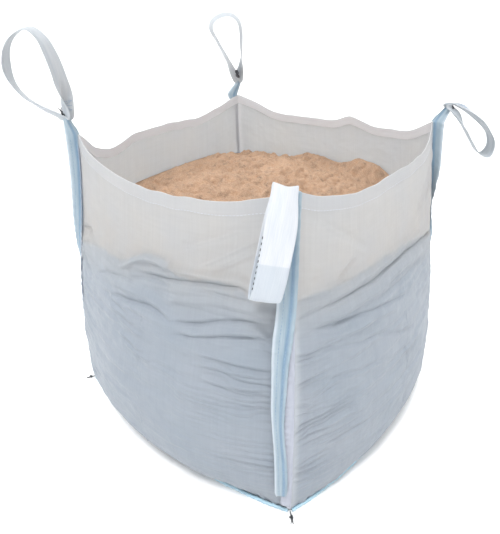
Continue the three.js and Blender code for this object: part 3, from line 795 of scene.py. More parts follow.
def panel_piece(k, grids):
    """Side k's cloth as one sheet: the outer face, the fold over the rim and the hem inside."""
    points, normal, u, share, z = grids
    rows = list(points)
    cloth_rows = [np.full(PANEL_COLUMNS, s * FLAT_HEIGHT) for s in share[:, 0]]
    hem_share = 1 - HEM_DEPTH / STANDING_HEIGHT
    # painted light beside the corner seams
    seam_light_share = SEAM_LIGHT * np.exp(-((1 - np.abs(u[0])) / SEAM_REACH) ** 2)
    hem_light_rows = [np.maximum(seam_light_share, HEM_LIGHT * float(s > hem_share)) for s in share[:, 0]]
    # painted shade where sand lies behind the cloth, weaker just under the fill line
    sand_shade_rows = list(sand_shade_share(k, u, z))
    # over the rim and down inside, as one folded sheet
    rim = points[-1]
    inward = unit(-normal[-1] * (1, 1, 0))
    for i in range(1, FOLD_STEPS + 1):
        angle = math.pi * i / FOLD_STEPS
        lift = HEM_FOLD_RADIUS * math.sin(angle)
        reach = HEM_FOLD_RADIUS * (1 - math.cos(angle))
        rows.append(rim + inward * reach + UP * lift)
    heights = share[:, 0] * STANDING_HEIGHT
    for depth in np.linspace(0, HEM_DEPTH, HEM_ROWS + 1)[1:]:
        level = STANDING_HEIGHT - depth
        at = np.clip(np.searchsorted(heights, level) - 1, 0, PANEL_ROWS - 2)
        t = (level - heights[at]) / (heights[at + 1] - heights[at])
        outer = points[at] * (1 - t) + points[at + 1] * t
        wave = 0.0007 * noise(u[0] * FLAT_WIDTH / 2 / 0.03, np.full(PANEL_COLUMNS, depth / 0.02), 70 + k)
        rows.append(outer + inward * (HEM_GAP + HEM_FOLD_RADIUS * 0.6 + np.abs(wave))[:, None])
    extra = FOLD_STEPS + HEM_ROWS
    for i in range(extra):
        cloth_rows.append(np.full(PANEL_COLUMNS, FLAT_HEIGHT + 0.002 * (i + 1)))
        # a painted highlight over the rim's fold, and painted light over the doubled hem inside
        hem_light_rows.append(np.full(PANEL_COLUMNS, RIM_HIGHLIGHT if i < FOLD_STEPS else 1.0))
        sand_shade_rows.append(np.zeros(PANEL_COLUMNS))
    total = PANEL_ROWS + extra
    made = new_object(f"{SIDES[k]}_panel_cloth", np.array(rows), grid_faces(total, PANEL_COLUMNS))
    across = np.tile(u[0] * FLAT_WIDTH / 2, (total, 1))
    places = np.stack([across + 0.31 * k, np.array(cloth_rows), np.full((total, PANEL_COLUMNS), 0.1 * k)], -1)
    point_values(made, "cloth", places.reshape(-1, 3))
    point_values(made, "sand_shade", np.array(sand_shade_rows).ravel())
    point_values(made, "hem", np.array(hem_light_rows).ravel())
    height = np.array(rows)[..., 2]
    dust = np.exp(-((height - 0.66) / 0.05) ** 2) * 0.10 + np.exp(-(height / 0.05) ** 2) * 0.12
    point_values(made, "dust", dust.ravel())
    finish_piece(made, cloth, [f"{SIDES[k]}_panel"], BAG)


panel_grids = [panel_grid(k) for k in range(4)]
for k in range(4):
    panel_piece(k, panel_grids[k])


# ---------------------------------------------------------------- hem and base stitching

HEM_STITCH_SHARE = 0.964
HEM_STITCH_END = 0.985
HEM_PATH_POINTS = 300
THREAD_LIFT = 0.0002


def hem_stitches(k):
    """The row of stitches that holds side k's hem."""
    points, normals = panel_grids[k][:2]
    u = np.linspace(-HEM_STITCH_END, HEM_STITCH_END, HEM_PATH_POINTS)
    row = np.full(HEM_PATH_POINTS, HEM_STITCH_SHARE) * (PANEL_ROWS - 1)
    column = (u + 1) / 2 * (PANEL_COLUMNS - 1)
    facing = unit(grid_sample(normals, row, column))
    path = grid_sample(points, row, column) + THREAD_LIFT * facing
    made = new_object(f"{SIDES[k]}_hem_stitches", *stitch_row(path, facing))
    finish_piece(made, hem_thread_look, [f"{SIDES[k]}_hem_thread"], BAG)


BASE_SEAM_END = 0.992
BASE_SEAM_HALF_LENGTH = 0.43
BASE_SEAM_SECTIONS = 560
BASE_SEAM_RING = 12
BASE_SEAM_MIDDLE = 0.0056
BASE_SEAM_RADIUS = 0.0048
BASE_SEAM_OUT = 0.0040
BASE_SEAM_GIRTH = 0.025
OVERLOCK_PITCH = 0.0062


def base_seam(k):
    """The bound seam at the foot of a side: a wavy roll of cloth under a spiral of thread."""
    u = np.linspace(-BASE_SEAM_END, BASE_SEAM_END, BASE_SEAM_SECTIONS)
    x = u * BASE_SEAM_HALF_LENGTH
    wave = 0.0013 * noise_along(x, 0.030, 80 + k) + 0.0007 * np.sin(math.tau * x / 0.017)
    path = wall(k, u, np.full(len(u), BASE_SEAM_MIDDLE)) + level_facing(k) * (BASE_SEAM_OUT + wave)[:, None]
    path[:, 2] = BASE_SEAM_MIDDLE + 0.0009 * noise_along(x, 0.024, 84 + k)
    swell = 0.14 * np.sin(math.tau * x / OVERLOCK_PITCH)
    size = BASE_SEAM_RADIUS * (1 + swell + 0.10 * noise_along(x, 0.04, 90))
    made = new_object(f"{SIDES[k]}_base_binding", *tube(path, size, BASE_SEAM_RING, 0.95))
    turn = np.arange(BASE_SEAM_RING) / BASE_SEAM_RING
    around = np.concatenate([np.tile(turn * BASE_SEAM_GIRTH, len(u)), [0, 0]])
    along = np.concatenate([np.repeat(x, BASE_SEAM_RING), [x[0], x[-1]]])
    point_values(made, "cloth", np.stack([around, along, 0 * along], 1))
    point_values(made, "stripe_and_shade", 0 * along)
    finish_piece(made, seam_webbing, [f"{SIDES[k]}_base_seam"], BAG)


for k in range(4):
    hem_stitches(k)
    base_seam(k)

# ---------------------------------------------------------------- corner webbing and loops

WEBBING_COLUMNS = 25
WEBBING_ROWS = 330
WEBBING_WIDTH = 0.040
WEBBING_THICKNESS = 0.0020
WEBBING_STANDOFF = (.009, .0028, .005, .0035)
WEBBING_LOW = (.088, .016, .016, .016)
# By height: the strip's turn in degrees from straight out, and where it starts across from the seam.
WEBBING_TURN = (
    ((0, 96), (.35, 96), (.6, 92), (.9, 85)),
    ((0, -98), (.43, -94), (.60, 98), (.68, 92), (.76, 58), (.83, 40), (.9, 34)),
    ((0, 98), (.45, 92), (.64, 20), (.76, 0), (.83, 0), (.9, -75)),
    ((0, 99), (.42, 95), (.56, 50), (.66, 26), (.78, 10), (.9, 0)),
)
WEBBING_START = (
    ((0, .012), (.14, .013), (.31, .024), (.40, .021), (.49, .015), (.56, .004), (.62, -.002), (.9, -.014)),
    ((0, .002), (.42, .001), (.52, -.006), (.6, -.007), (.68, -.008), (.78, -.010), (.86, -.008),
     (.9, -.007)),
    ((0, .003), (.5, .003), (.9, .003)),
    ((0, .003), (.40, .003), (.52, -.005), (.76, -.009), (.9, -.009)),
)
# The far edge of the front right webbing, and the turn of each webbing where it meets its loop.
FRONT_WEBBING_EDGE = (
    (0, .043), (.14, .046), (.31, .053), (.40, .056), (.49, .055), (.56, .051), (.62, .044), (.9, .028))
NECK_TURN = (85, 20, -80, 0)
NECK_STEPS = 26
NECK_CUP = 0.010
NECK_NARROWING = 0.45
# One webbing turns over on its way up, and narrows where it does.
FLIP_CORNER = 1
FLIP_WIDTH_SHARE = ((.43, 1), (.50, .30), (.60, .26), (.68, 1))
# The two long rows of stitches: their places across the webbing, and the webbing's rows they run over.
WEBBING_STITCH_SHARES = (0.30, 0.67)
STITCHED_ROWS = slice(2, WEBBING_ROWS - 5)

TAPE_COLUMNS = 9
TAPE_ROWS = 260
TAPE_WIDTH = (.026, .014, .014, .014)
TAPE_START = (.0, .0025, .0025, .0025)
TAPE_THICKNESS = 0.0012
TAPE_WAVE = (.0016, .0003, .0003, .0003)
TAPE_STANDOFF = (.003, .0012, .0012, .0012)
TAPE_LOW = 0.020
TAPE_TOP = (.870, .430, .870, .870)
TAPE_TURN = (
    ((0, 99), (.6, 99), (.9, 92)),
    ((0, 97), (.9, 97)),
    ((0, -97), (.9, -99)),
    ((0, -97), (.9, -99)),
)

# Each hinge point is (out from the middle of the bag, sideways, height) at its own corner.
LOOP_HINGE = ((.572, -.024, .917), (.600, 0, .955), (.562, .018, .957), (.566, 0, .947))
LOOP_THICKNESS = 0.0024
LOOP_HALF_WIDTH = 0.034
# At the neck each strap is folded to this opening in degrees, and it lies flat, at 90, where the flare ends.
LOOP_NECK_OPENING = (52, 22, 20, 22)
LOOP_FLARE_START = 0.008
LOOP_FLARE_END = 0.110
FRONT_LOOP_SLANT = 0.2
LOOP_SECTIONS = 220
# How far each strap is turned about its own run, in degrees, by share of its length.
LOOP_TWIST = (
    ((0, 0), (.3, 2), (.6, -2), (1, 0)),
    ((0, -6), (.3, -8), (.42, -4), (.52, 6), (.6, 4), (.75, -5), (1, -5)),
    ((0, 6), (.5, 13), (1, 6)),
    ((0, -12), (.12, -10), (.25, -7), (.36, 5), (.46, 0), (.55, -4), (.66, -11), (.78, -17), (.88, -22),
     (.95, -16), (1, -12)),
)
# The straps' own unevenness: each loop's share, its twist, its edge waves and its rounded middle.
LOOP_WAVE = (.35, 1, 1, 1)
LOOP_TWIST_WAVE = 0.10
LOOP_EDGE_WAVE = 0.0016
LOOP_CROWN = 0.0020
LOOP_ACROSS = 23
# How softly the strap is folded along its middle at the neck.
FOLD_SOFTNESS = 0.005
# Beyond this distance from its hinge the hanging loop's webbing is greyer: painted shade on its lower part.
FRONT_LOOP_SHADE_FROM = 0.152
# Each loop seen from the side in millimetres, as (across, along) from its hinge.
LOOP_OUTLINE = (
    ((0, -6), (6, -1), (13, 12), (27, 45), (39, 95), (47, 150), (50, 200), (45, 233), (32, 245),
     (19, 232), (14, 180), (13, 115), (9, 50), (1, 16), (-6, 2)),
    ((-6, -3), (24, -27), (56, -69), (89, -117), (121, -156), (148, -168), (163, -147), (158, -110),
     (130, -73), (89, -38), (43, -9), (6, 5)),
    ((0, -6), (7, 5), (21, 36), (50, 96), (79, 150), (102, 198), (92, 227), (58, 245), (24, 245),
     (-1, 226), (-12, 192), (-12, 135), (-11, 80), (-9, 25), (-6, 2)),
    ((0, -6), (8, 2), (38, 18), (72, 38), (109, 71), (131, 115), (134, 160), (122, 199), (95, 229),
     (60, 242), (31, 216), (14, 174), (1, 120), (-5, 65), (-6, 5)),
)

webbing_turn, webbing_start, tape_turn, loop_twist = (
    [profile(points) for points in table] for table in (WEBBING_TURN, WEBBING_START, TAPE_TURN, LOOP_TWIST))
flip_share = profile(FLIP_WIDTH_SHARE)
front_webbing_edge = profile(FRONT_WEBBING_EDGE)


def hinge_point(k):
    out, side, height = LOOP_HINGE[k]
    return out * OUTWARD[k] + side * SIDEWAYS[k] + height * UP


def strip_directions(k, turn):
    """Across and through a strip turned by an angle in degrees from straight out."""
    angle = np.radians(turn)
    cosine, sine = np.cos(angle)[:, None], np.sin(angle)[:, None]
    return cosine * OUTWARD[k] - sine * SIDEWAYS[k], sine * OUTWARD[k] + cosine * SIDEWAYS[k]


def strip_grid(centre, across, through, offset, lift):
    """Grids of a strip's points and through directions, from how far each column is across and lifted."""
    points = centre[:, None] + across[:, None] * offset[..., None] + through[:, None] * lift[..., None]
    return points, np.tile(through[:, None], (1, offset.shape[1], 1))


def ribbon(name, points, through, places, thickness, closed=False, stripe_and_shade=None):
    """A strap with its faces turned out, from grids of middle points, through directions and cloth places."""
    count, columns = points.shape[:2]
    edge = np.abs(np.linspace(-1, 1, columns))
    half = thickness / 2 * np.sqrt(np.clip(1 - edge ** 14, 0.02, 1))[None, :, None]
    front, back = points + through * half, points - through * half
    rings = np.concatenate([front, back[:, ::-1]], 1)
    size = 2 * columns
    faces = grid_faces(count, size, wrap_rows=closed, wrap_columns=True)
    if not closed:
        for start, flip in ((0, True), ((count - 1) * size, False)):
            for j in range(columns - 1):
                quad = [start + j, start + j + 1, start + size - 2 - j, start + size - 1 - j]
                faces.append(quad[::-1] if flip else quad)
    made = new_object(name, rings, faces)
    both = np.concatenate([places, places[:, ::-1]], 1)
    point_values(made, "cloth", both.reshape(-1, 3))
    stripe_and_shade = np.zeros((count, columns)) if stripe_and_shade is None else stripe_and_shade
    point_values(made, "stripe_and_shade", np.concatenate([stripe_and_shade, stripe_and_shade[:, ::-1]], 1).ravel())
    return face_outward(made)


def cloth_places(across, along):
    """Places on a strap in metres, for its material: a grid from how far across and how far along."""
    across, along = np.broadcast_arrays(across, along)
    return np.stack([across, along, 0 * across], -1)


def face_outward(made):
    """Turns a closed mesh's faces to point out."""
    mesh = made.data
    mesh.calc_loop_triangles()
    co = np.array([v.co for v in mesh.vertices])
    index = np.array([t.vertices for t in mesh.loop_triangles])
    a, b, c = co[index[:, 0]], co[index[:, 1]], co[index[:, 2]]
    if np.einsum("ij,ij->i", a, np.cross(b, c)).sum() < 0:
        mesh.flip_normals()
    return made


def webbing_frame(k, z):
    """The webbing's middle line, its across and through directions and its width at heights z."""
    across, through = strip_directions(k, webbing_turn[k](z))
    width = WEBBING_WIDTH * (flip_share(z) if k == FLIP_CORNER else np.ones_like(z))
    if k == 0:
        width = front_webbing_edge(z) - webbing_start[k](z)
    centre = corner_line(k, z) + OUTWARD[k] * WEBBING_STANDOFF[k]
    centre = centre + across * (webbing_start[k](z) + width / 2)[:, None]
    return centre, across, through, width


def corner_webbing(k):
    """The loop's sewn leg down the corner, its neck curving up to the loop's hinge."""
    z = np.linspace(WEBBING_LOW[k], CORNER_HEIGHT[k], WEBBING_ROWS)
    centre, across, through, width = webbing_frame(k, z)
    hinge = hinge_point(k)
    t = np.linspace(0, 1, NECK_STEPS + 1)[1:]
    top = centre[-1]
    ease = smoothstep(0, 1, t)
    neck = top + (hinge - top) * t[:, None]
    neck[:, :2] += ((ease - t) * 0.5)[:, None] * (hinge - top)[:2]
    centre = np.concatenate([centre, neck])
    last_turn = webbing_turn[k](CORNER_HEIGHT[k])
    neck_across, neck_through = strip_directions(k, last_turn + (NECK_TURN[k] - last_turn) * ease)
    across = np.concatenate([across, neck_across])
    through = np.concatenate([through, neck_through])
    width = np.concatenate([width, width[-1] * (1 - NECK_NARROWING * ease)])
    width[:WEBBING_ROWS] *= 0.72 + 0.28 * np.sqrt(smoothstep(-0.002, 0.018, z - WEBBING_LOW[k]))
    along = lengths_along(centre)[:, None]
    place = np.linspace(-0.5, 0.5, WEBBING_COLUMNS)[None, :]
    offset = place * width[:, None]
    # puckers from the stitching, and a cupped neck
    stitch = place - (WEBBING_STITCH_SHARES[0] - 0.5)
    lift = 0.0010 * np.sin(math.tau * (along / 0.031 + 0.5 * noise(along / 0.06, 3 * place, 20 + k)))
    lift = lift * np.abs(place) * 2
    lift = lift + 0.0012 * noise(along / 0.09, 2 * place, 24 + k)
    lift = lift - 0.0009 * np.exp(-(stitch / 0.05) ** 2)
    top_share = smoothstep(along[WEBBING_ROWS - 1] - 0.05, along[-1], along)
    cup = NECK_CUP * top_share * (1 - (2 * place) ** 2)
    wander = 0.0012 * noise_along(along, 0.11, 28 + k)
    points, facing = strip_grid(centre, across, through, offset + wander, lift + cup)
    stripe_and_shade = (np.exp(-(stitch / 0.13) ** 2) - np.exp(-((place - 0.44) / 0.10) ** 2)) * np.ones_like(offset)
    places = cloth_places(offset, along)
    made = ribbon(f"{CORNERS[k]}_sewn_webbing", points, facing, places, WEBBING_THICKNESS, stripe_and_shade=stripe_and_shade)
    start = Vector(top + (hinge - top) * 0.15)
    finish_piece(made, blue_webbing, [f"{CORNERS[k]}_corner_webbing"],
                 bend=(BAG, f"{CORNERS[k]}_loop", start, Vector(hinge)))
    # the long rows of stitches
    rows = []
    lifts = through[STITCHED_ROWS]
    for share_across in WEBBING_STITCH_SHARES:
        column = int(round(share_across * (WEBBING_COLUMNS - 1)))
        row = points[STITCHED_ROWS, column] + lifts * (WEBBING_THICKNESS / 2 + THREAD_LIFT)
        rows.append(stitch_row(row, lifts))
    sewn = new_object(f"{CORNERS[k]}_corner_stitches", *joined(rows))
    finish_piece(sewn, thread_look, [f"{CORNERS[k]}_corner_thread"], BAG)


def seam_tape(k):
    """The pale edging beside the webbing, with a ragged outer edge."""
    z = np.linspace(TAPE_LOW, TAPE_TOP[k] - 0.010, TAPE_ROWS)
    taper = 0.35 + 0.65 * smoothstep(TAPE_LOW, TAPE_LOW + 0.03, z)
    across, through = strip_directions(k, tape_turn[k](z))
    centre = corner_line(k, z) + OUTWARD[k] * TAPE_STANDOFF[k]
    place = np.linspace(0, 1, TAPE_COLUMNS)[None, :]
    ragged = 1 + 0.10 * noise_along(z, 0.05, 30 + k) + 0.05 * noise_along(z, 0.012, 34 + k)
    offset = TAPE_START[k] + place * TAPE_WIDTH[k] * (ragged * taper)[:, None]
    wave = np.sin(math.tau * (z / 0.024 + noise_along(z, 0.07, 38 + k)))
    points, facing = strip_grid(centre, across, through, offset, TAPE_WAVE[k] * place * wave[:, None])
    places = cloth_places(offset, z[:, None])
    made = ribbon(f"{CORNERS[k]}_seam_edging", points, facing, places, TAPE_THICKNESS)
    look = white_tape if k == 0 else thin_tape
    finish_piece(made, look, [f"{CORNERS[k]}_seam_tape"], BAG)


CURVE_STEPS = 40


def closed_curve(outline, count):
    """Evenly spaced points, directions and distances along a smooth closed curve, and its length.

    The outline is in millimetres and what comes back is in metres.
    """
    p = np.array(outline, float) / 1000
    dense = []
    total = len(p)
    for i in range(total):
        a, b, c, d = p[i - 1], p[i], p[(i + 1) % total], p[(i + 2) % total]
        ta = np.linalg.norm(b - a) ** 0.5
        tb = ta + np.linalg.norm(c - b) ** 0.5
        tc = tb + np.linalg.norm(d - c) ** 0.5
        for t in np.linspace(ta, tb, CURVE_STEPS, endpoint=False):
            ab = a * (ta - t) / ta + b * t / ta
            bc = b * (tb - t) / (tb - ta) + c * (t - ta) / (tb - ta)
            cd = c * (tc - t) / (tc - tb) + d * (t - tb) / (tc - tb)
            left = ab * (tb - t) / tb + bc * t / tb
            right = bc * (tc - t) / (tc - ta) + cd * (t - ta) / (tc - ta)
            dense.append(left * (tb - t) / (tb - ta) + right * (t - ta) / (tb - ta))
    dense = np.array(dense + dense[:1])
    lengths = lengths_along(dense)
    at = np.arange(count) * lengths[-1] / count
    points = interpolated(at, lengths, dense)
    return points, unit(np.roll(points, -1, 0) - np.roll(points, 1, 0)), at, lengths[-1]


def loop_plane(k):
    """A loop's directions: across its opening, along it from the hinge, and along the strap's width."""
    if k == 0:
        along = -FRONT_LOOP_SLANT * SIDEWAYS[k] - math.sqrt(1 - FRONT_LOOP_SLANT ** 2) * UP
        return OUTWARD[k], along, np.cross(OUTWARD[k], along)
    if k == 2:
        return SIDEWAYS[k], UP, OUTWARD[k]
    return OUTWARD[k], UP, SIDEWAYS[k]


def lift_loop(k):
    """A closed loop of strap, folded at its neck: points, normals and each section's way from the hinge."""
    across, along, width = loop_plane(k)
    spots, ways, at, length = closed_curve(LOOP_OUTLINE[k], LOOP_SECTIONS)
    hinge = hinge_point(k)
    centre = hinge + spots[:, :1] * across + spots[:, 1:] * along
    through = ways[:, 1:] * across - ways[:, :1] * along
    away = np.hypot(spots[:, 0], spots[:, 1])
    opening = smoothstep(LOOP_FLARE_START, LOOP_FLARE_END, away)
    angle = np.radians(LOOP_NECK_OPENING[k] + (90 - LOOP_NECK_OPENING[k]) * opening)[:, None]
    turn = np.radians(loop_twist[k](at / length))[:, None]
    opening, at = opening[:, None], at[:, None]
    place = np.linspace(-1, 1, LOOP_ACROSS)[None, :]
    arc = place * LOOP_HALF_WIDTH
    # both legs fold the same way, with the fold's back turned away from the bag
    arm = np.sqrt(arc ** 2 + FOLD_SOFTNESS ** 2) - FOLD_SOFTNESS
    depth = (arm - LOOP_HALF_WIDTH / 2) * np.cos(angle)
    side = arc * np.sin(angle)
    # the strap's own slow twist and edge waves
    twist = LOOP_TWIST_WAVE * LOOP_WAVE[k] * noise(at / 0.12, 0 * arc, 100 + k) * opening
    wave = LOOP_EDGE_WAVE * LOOP_WAVE[k] * noise(at / 0.06, 3 * place, 104 + k) * (0.3 + 0.7 * opening)
    lift = wave + LOOP_CROWN * (1 - place ** 2) * opening + twist * arc
    wide = np.cos(turn) * width + np.sin(turn) * through
    deep = np.cos(turn) * through - np.sin(turn) * width
    points = (centre[:, None] + side[..., None] * wide[:, None] - depth[..., None] * across
              + lift[..., None] * deep[:, None])
    facing = grid_normals(points)
    if (facing * through[:, None]).sum(-1).mean() < 0:
        facing = -facing
    line, look = np.exp(-((np.abs(place) - 0.62) / 0.10) ** 2), grey_webbing
    if k == 0:
        # painted shade: the hanging loop is greyed on its lower part, away from its hinge
        line, look = 1.6 * smoothstep(-0.002, 0.002, spots[:, 1:] - FRONT_LOOP_SHADE_FROM), pale_webbing
    line = line * np.ones(points.shape[:2])
    made = ribbon(f"{CORNERS[k]}_strap", points, facing, cloth_places(arc, at), LOOP_THICKNESS, True, line)
    finish_piece(made, look, [f"{CORNERS[k]}_lift_loop"], f"{CORNERS[k]}_loop")
    return points, facing, away


# Stitches on a strap: (pitch, length, radius).
TACK_STITCH = (0.0062, 0.0052, 0.0008)
EDGE_STITCH = (0.0105, 0.0062, 0.0009)
STRAP_LINE_POINTS = 40
# Where the tack begins, out from the hinge, how many sections it covers and how much of the width.
TACK_DISTANCE = 0.048
TACK_SECTIONS = 9
TACK_SHARE = 0.86
# The column of the strap that the edge stitches follow, and the sections between which they run.
EDGE_COLUMN = 0.15
EDGE_SECTIONS = (44, 70, 96)


def strap_stitches(points, facing, lines, stitch):
    """Rows of stitches on a strap's outer face, each straight between two (row, column) places."""
    made = []
    for start, end in lines:
        row, column = np.linspace(start, end, STRAP_LINE_POINTS).T
        spot, normal = grid_sample(points, row, column), grid_sample(facing, row, column)
        middle = points.reshape(-1, 3).mean(0)
        if ((middle - spot) * normal).sum() > 0:
            normal = -normal
        path = spot + normal * (LOOP_THICKNESS / 2 + THREAD_LIFT)
        made.append(stitch_row(path, normal, *stitch))
    return joined(made)


def loop_tack(k, points, facing, away):
    """The box of cross stitching that closes a loop near its neck."""
    rows = np.where(away < TACK_DISTANCE)[0]
    first = rows[rows > LOOP_SECTIONS // 2][0]
    last = min(first + TACK_SECTIONS, LOOP_SECTIONS - 1)
    middle = (first + last) / 2
    low, high = ((LOOP_ACROSS - 1) * (1 + side * TACK_SHARE) / 2 for side in (-1, 1))
    lines = [((first, low), (first, high)), ((last, low), (last, high)), ((first, low), (last, high)),
             ((first, high), (last, low)), ((middle, low), (middle, high))]
    sewn = new_object(f"{CORNERS[k]}_tack_stitches", *strap_stitches(points, facing, lines, TACK_STITCH))
    finish_piece(sewn, thread_look, [f"{CORNERS[k]}_loop_tack"], f"{CORNERS[k]}_loop")


def front_loop_edge(points, facing):
    """A row of dark stitches down one edge of the hanging loop's outer leg."""
    first, middle, last = ((section, EDGE_COLUMN) for section in EDGE_SECTIONS)
    lines = [(first, middle), (middle, last)]
    sewn = new_object("front_right_edge_stitches", *strap_stitches(points, facing, lines, EDGE_STITCH))
    finish_piece(sewn, knot_look, [], "front_right_loop")


KNOT_START = 0.013
KNOT_OUT = 0.010
KNOT_LENGTH = 0.028
KNOT_HEIGHT = 0.006
KNOT_RADIUS = 0.0014
KNOT_SIZE = 0.00150
# The thread's way from the seam to its knot: (out, height, radius).
KNOT_LEAD = ((-.006, .0062, .0012), (0, .0058, .0016), (.004, .0054, .0015), (.008, .0056, .0016))
THREAD_RING = 8
TAIL_RING = 7
TAIL_RADIUS = 0.0011
TAIL_LOW = 0.0018
KNOT_STEPS = 90
TAIL_STEPS = 26
# Loose thread ends: how far each leans to the side, how far it reaches and how much it bends.
TAILS = ((0.9, 1.0, 0.8), (-0.7, 0.86, -0.7), (0.15, 0.74, 0.3))


def knot_shape(middle, ahead, side, up, size):
    """A pulled-tight overhand knot of thread."""
    t = np.linspace(0, 2 * math.pi, KNOT_STEPS)
    turns = np.stack([np.sin(t) + 2 * np.sin(2 * t), np.cos(t) - 2 * np.cos(2 * t), -np.sin(3 * t)], 1) * size
    path = middle + turns[:, :1] * ahead * 1.2 + turns[:, 1:2] * side + turns[:, 2:] * up * 1.1
    return tube(path, KNOT_RADIUS * size / KNOT_SIZE, THREAD_RING)


def thread_knot(k):
    """A knot tied in the seam's thread ends, with its short tails lying on the floor."""
    base = corner_line(k, np.array(0.0)) + OUTWARD[k] * KNOT_START
    middle = base + OUTWARD[k] * KNOT_OUT + UP * KNOT_HEIGHT
    lead = [base + OUTWARD[k] * out + UP * height for out, height, _ in KNOT_LEAD]
    pieces = [knot_shape(middle, OUTWARD[k], SIDEWAYS[k], UP, KNOT_SIZE),
              tube(lead, [radius for _, _, radius in KNOT_LEAD], THREAD_RING)]
    s = np.linspace(0, 1, TAIL_STEPS)
    for i, (lean, reach, bend) in enumerate(TAILS):
        out = s * (KNOT_LENGTH - KNOT_OUT) * reach
        sideways = lean * 0.0060 * s ** 1.5 + 0.0016 * np.sin(s * 6 + i) * bend
        tail = middle + OUTWARD[k] * out[:, None] + SIDEWAYS[k] * sideways[:, None]
        drop = (TAIL_LOW - KNOT_HEIGHT) * smoothstep(0, 0.5, s)
        tail[:, 2] = KNOT_HEIGHT + drop + 0.0006 * np.sin(7 * s + i)
        pieces.append(tube(tail, TAIL_RADIUS * (1 - 0.55 * s ** 3), TAIL_RING))
    made = new_object(f"{CORNERS[k]}_tied_thread", *joined(pieces))
    finish_piece(made, knot_look, [f"{CORNERS[k]}_thread_knot"], BAG)


# The ties in the loops' eyes, by corner: how far up from the hinge and in over the bag, and how big. The
# front right loop has none.
TIE_RISE = (0, .012, .030, .012)
TIE_FORWARD = (0, 0, .025, 0)
TIE_SCALE = (0, 1.6, 2.5, 1.6)
TIE_TAIL_LENGTH = 0.024
TIE_TAIL_SCALE = 1.3
TIE_TAIL_STEPS = 20


def crotch_tie(k, points):
    """The dark thread ends left knotted where a loop's legs come together."""
    width = loop_plane(k)[2]
    hinge = hinge_point(k)
    ahead = points.reshape(-1, 3).mean(0) - hinge
    ahead /= np.linalg.norm(ahead)
    side = np.cross(width, ahead)
    middle = hinge + ahead * TIE_RISE[k] - OUTWARD[k] * TIE_FORWARD[k]
    pieces = [knot_shape(middle, ahead, width, side, KNOT_SIZE * TIE_SCALE[k])]
    s = np.linspace(0, 1, TIE_TAIL_STEPS)
    for lean, reach, bend in TAILS:
        tail = middle + ahead * (s * TIE_TAIL_LENGTH * reach)[:, None]
        tail = tail + side * (lean * 0.006 * s ** 1.4)[:, None]
        tail = tail + width * (0.004 * bend * np.sin(4 * s))[:, None]
        pieces.append(tube(tail, TIE_TAIL_SCALE * TAIL_RADIUS * (1 - 0.55 * s ** 3), TAIL_RING))
    made = new_object(f"{CORNERS[k]}_crotch_thread", *joined(pieces))
    finish_piece(made, knot_look, [], f"{CORNERS[k]}_loop")


for k in range(4):
    corner_webbing(k)
    seam_tape(k)
    strap = lift_loop(k)
    loop_tack(k, *strap)
    if k == 0:
        front_loop_edge(*strap[:2])
    else:
        crotch_tie(k, strap[0])
    thread_knot(k)

# ---------------------------------------------------------------- sand

# How far the sand stays behind the smooth wall low down, and behind the cloth itself at its top edge and
# in the rings just under it.
SAND_INSET = 0.016
SAND_GAP = 0.006
SAND_UPPER_GAP = 0.012
SAND_FLOOR = 0.004
SAND_AROUND = 720
SAND_RINGS = 170
SAND_LEVELS = (SAND_FLOOR, 0.03, 0.08, 0.16, 0.26, 0.36)
SAND_UPPER_RINGS = 22
SAND_TOP = 0.700
SAND_ROUNDING = 34
SAND_EDGE_SMOOTHING = 150
SAND_HEAP_REACH = 0.55
# Where the sand's surface meets each wall, by place along the side.
SAND_LINE = (
    ((-1, .564), (-.75, .594), (-.52, .618), (-.33, .622), (-.18, .636), (-.10, .657), (0, .674), (.11, .681),
     (.20, .675), (.28, .656), (.45, .660), (.61, .670), (.78, .650), (1, .652)),
    ((-1, .652), (-.7, .650), (-.4, .656), (-.1, .652), (.2, .633), (.6, .584), (1, .536)),
    ((-1, .535), (-.80, .600), (-.66, .648), (-.56, .684), (-.41, .706), (-.28, .706), (-.17, .688),
     (-.06, .674), (.10, .684), (.26, .690), (.37, .674), (.53, .652), (.69, .664), (.90, .655), (1, .652)),
    ((-1, .652), (-.88, .658), (-.70, .668), (-.40, .664), (0, .656), (.32, .653), (.70, .612), (1, .566)),
)
sand_line = [profile(points) for points in SAND_LINE]


def sand_ring(height_of, gap=None):
    """A ring of points inside the walls at each side's heights, a gap behind the cloth or well clear."""
    ring = []
    for k in range(4):
        u = np.linspace(-1, 1, SAND_AROUND // 4, endpoint=False)
        z = height_of(k, u)
        points = wall(k, u, z)
        inset = np.full(len(u), SAND_INSET) if gap is None else gap - cloth_relief(k, u, z)
        points[:, :2] -= inset[:, None] * FACING[k]
        ring.append(points)
    return np.concatenate(ring)


def smoothed_round(values, reach):
    """Values round a ring, smoothed over a reach given as a count of points."""
    turns = np.fft.rfftfreq(len(values)) * 2 * math.pi
    return np.fft.irfft(np.fft.rfft(values) * np.exp(-(turns * reach) ** 2 / 2), len(values))


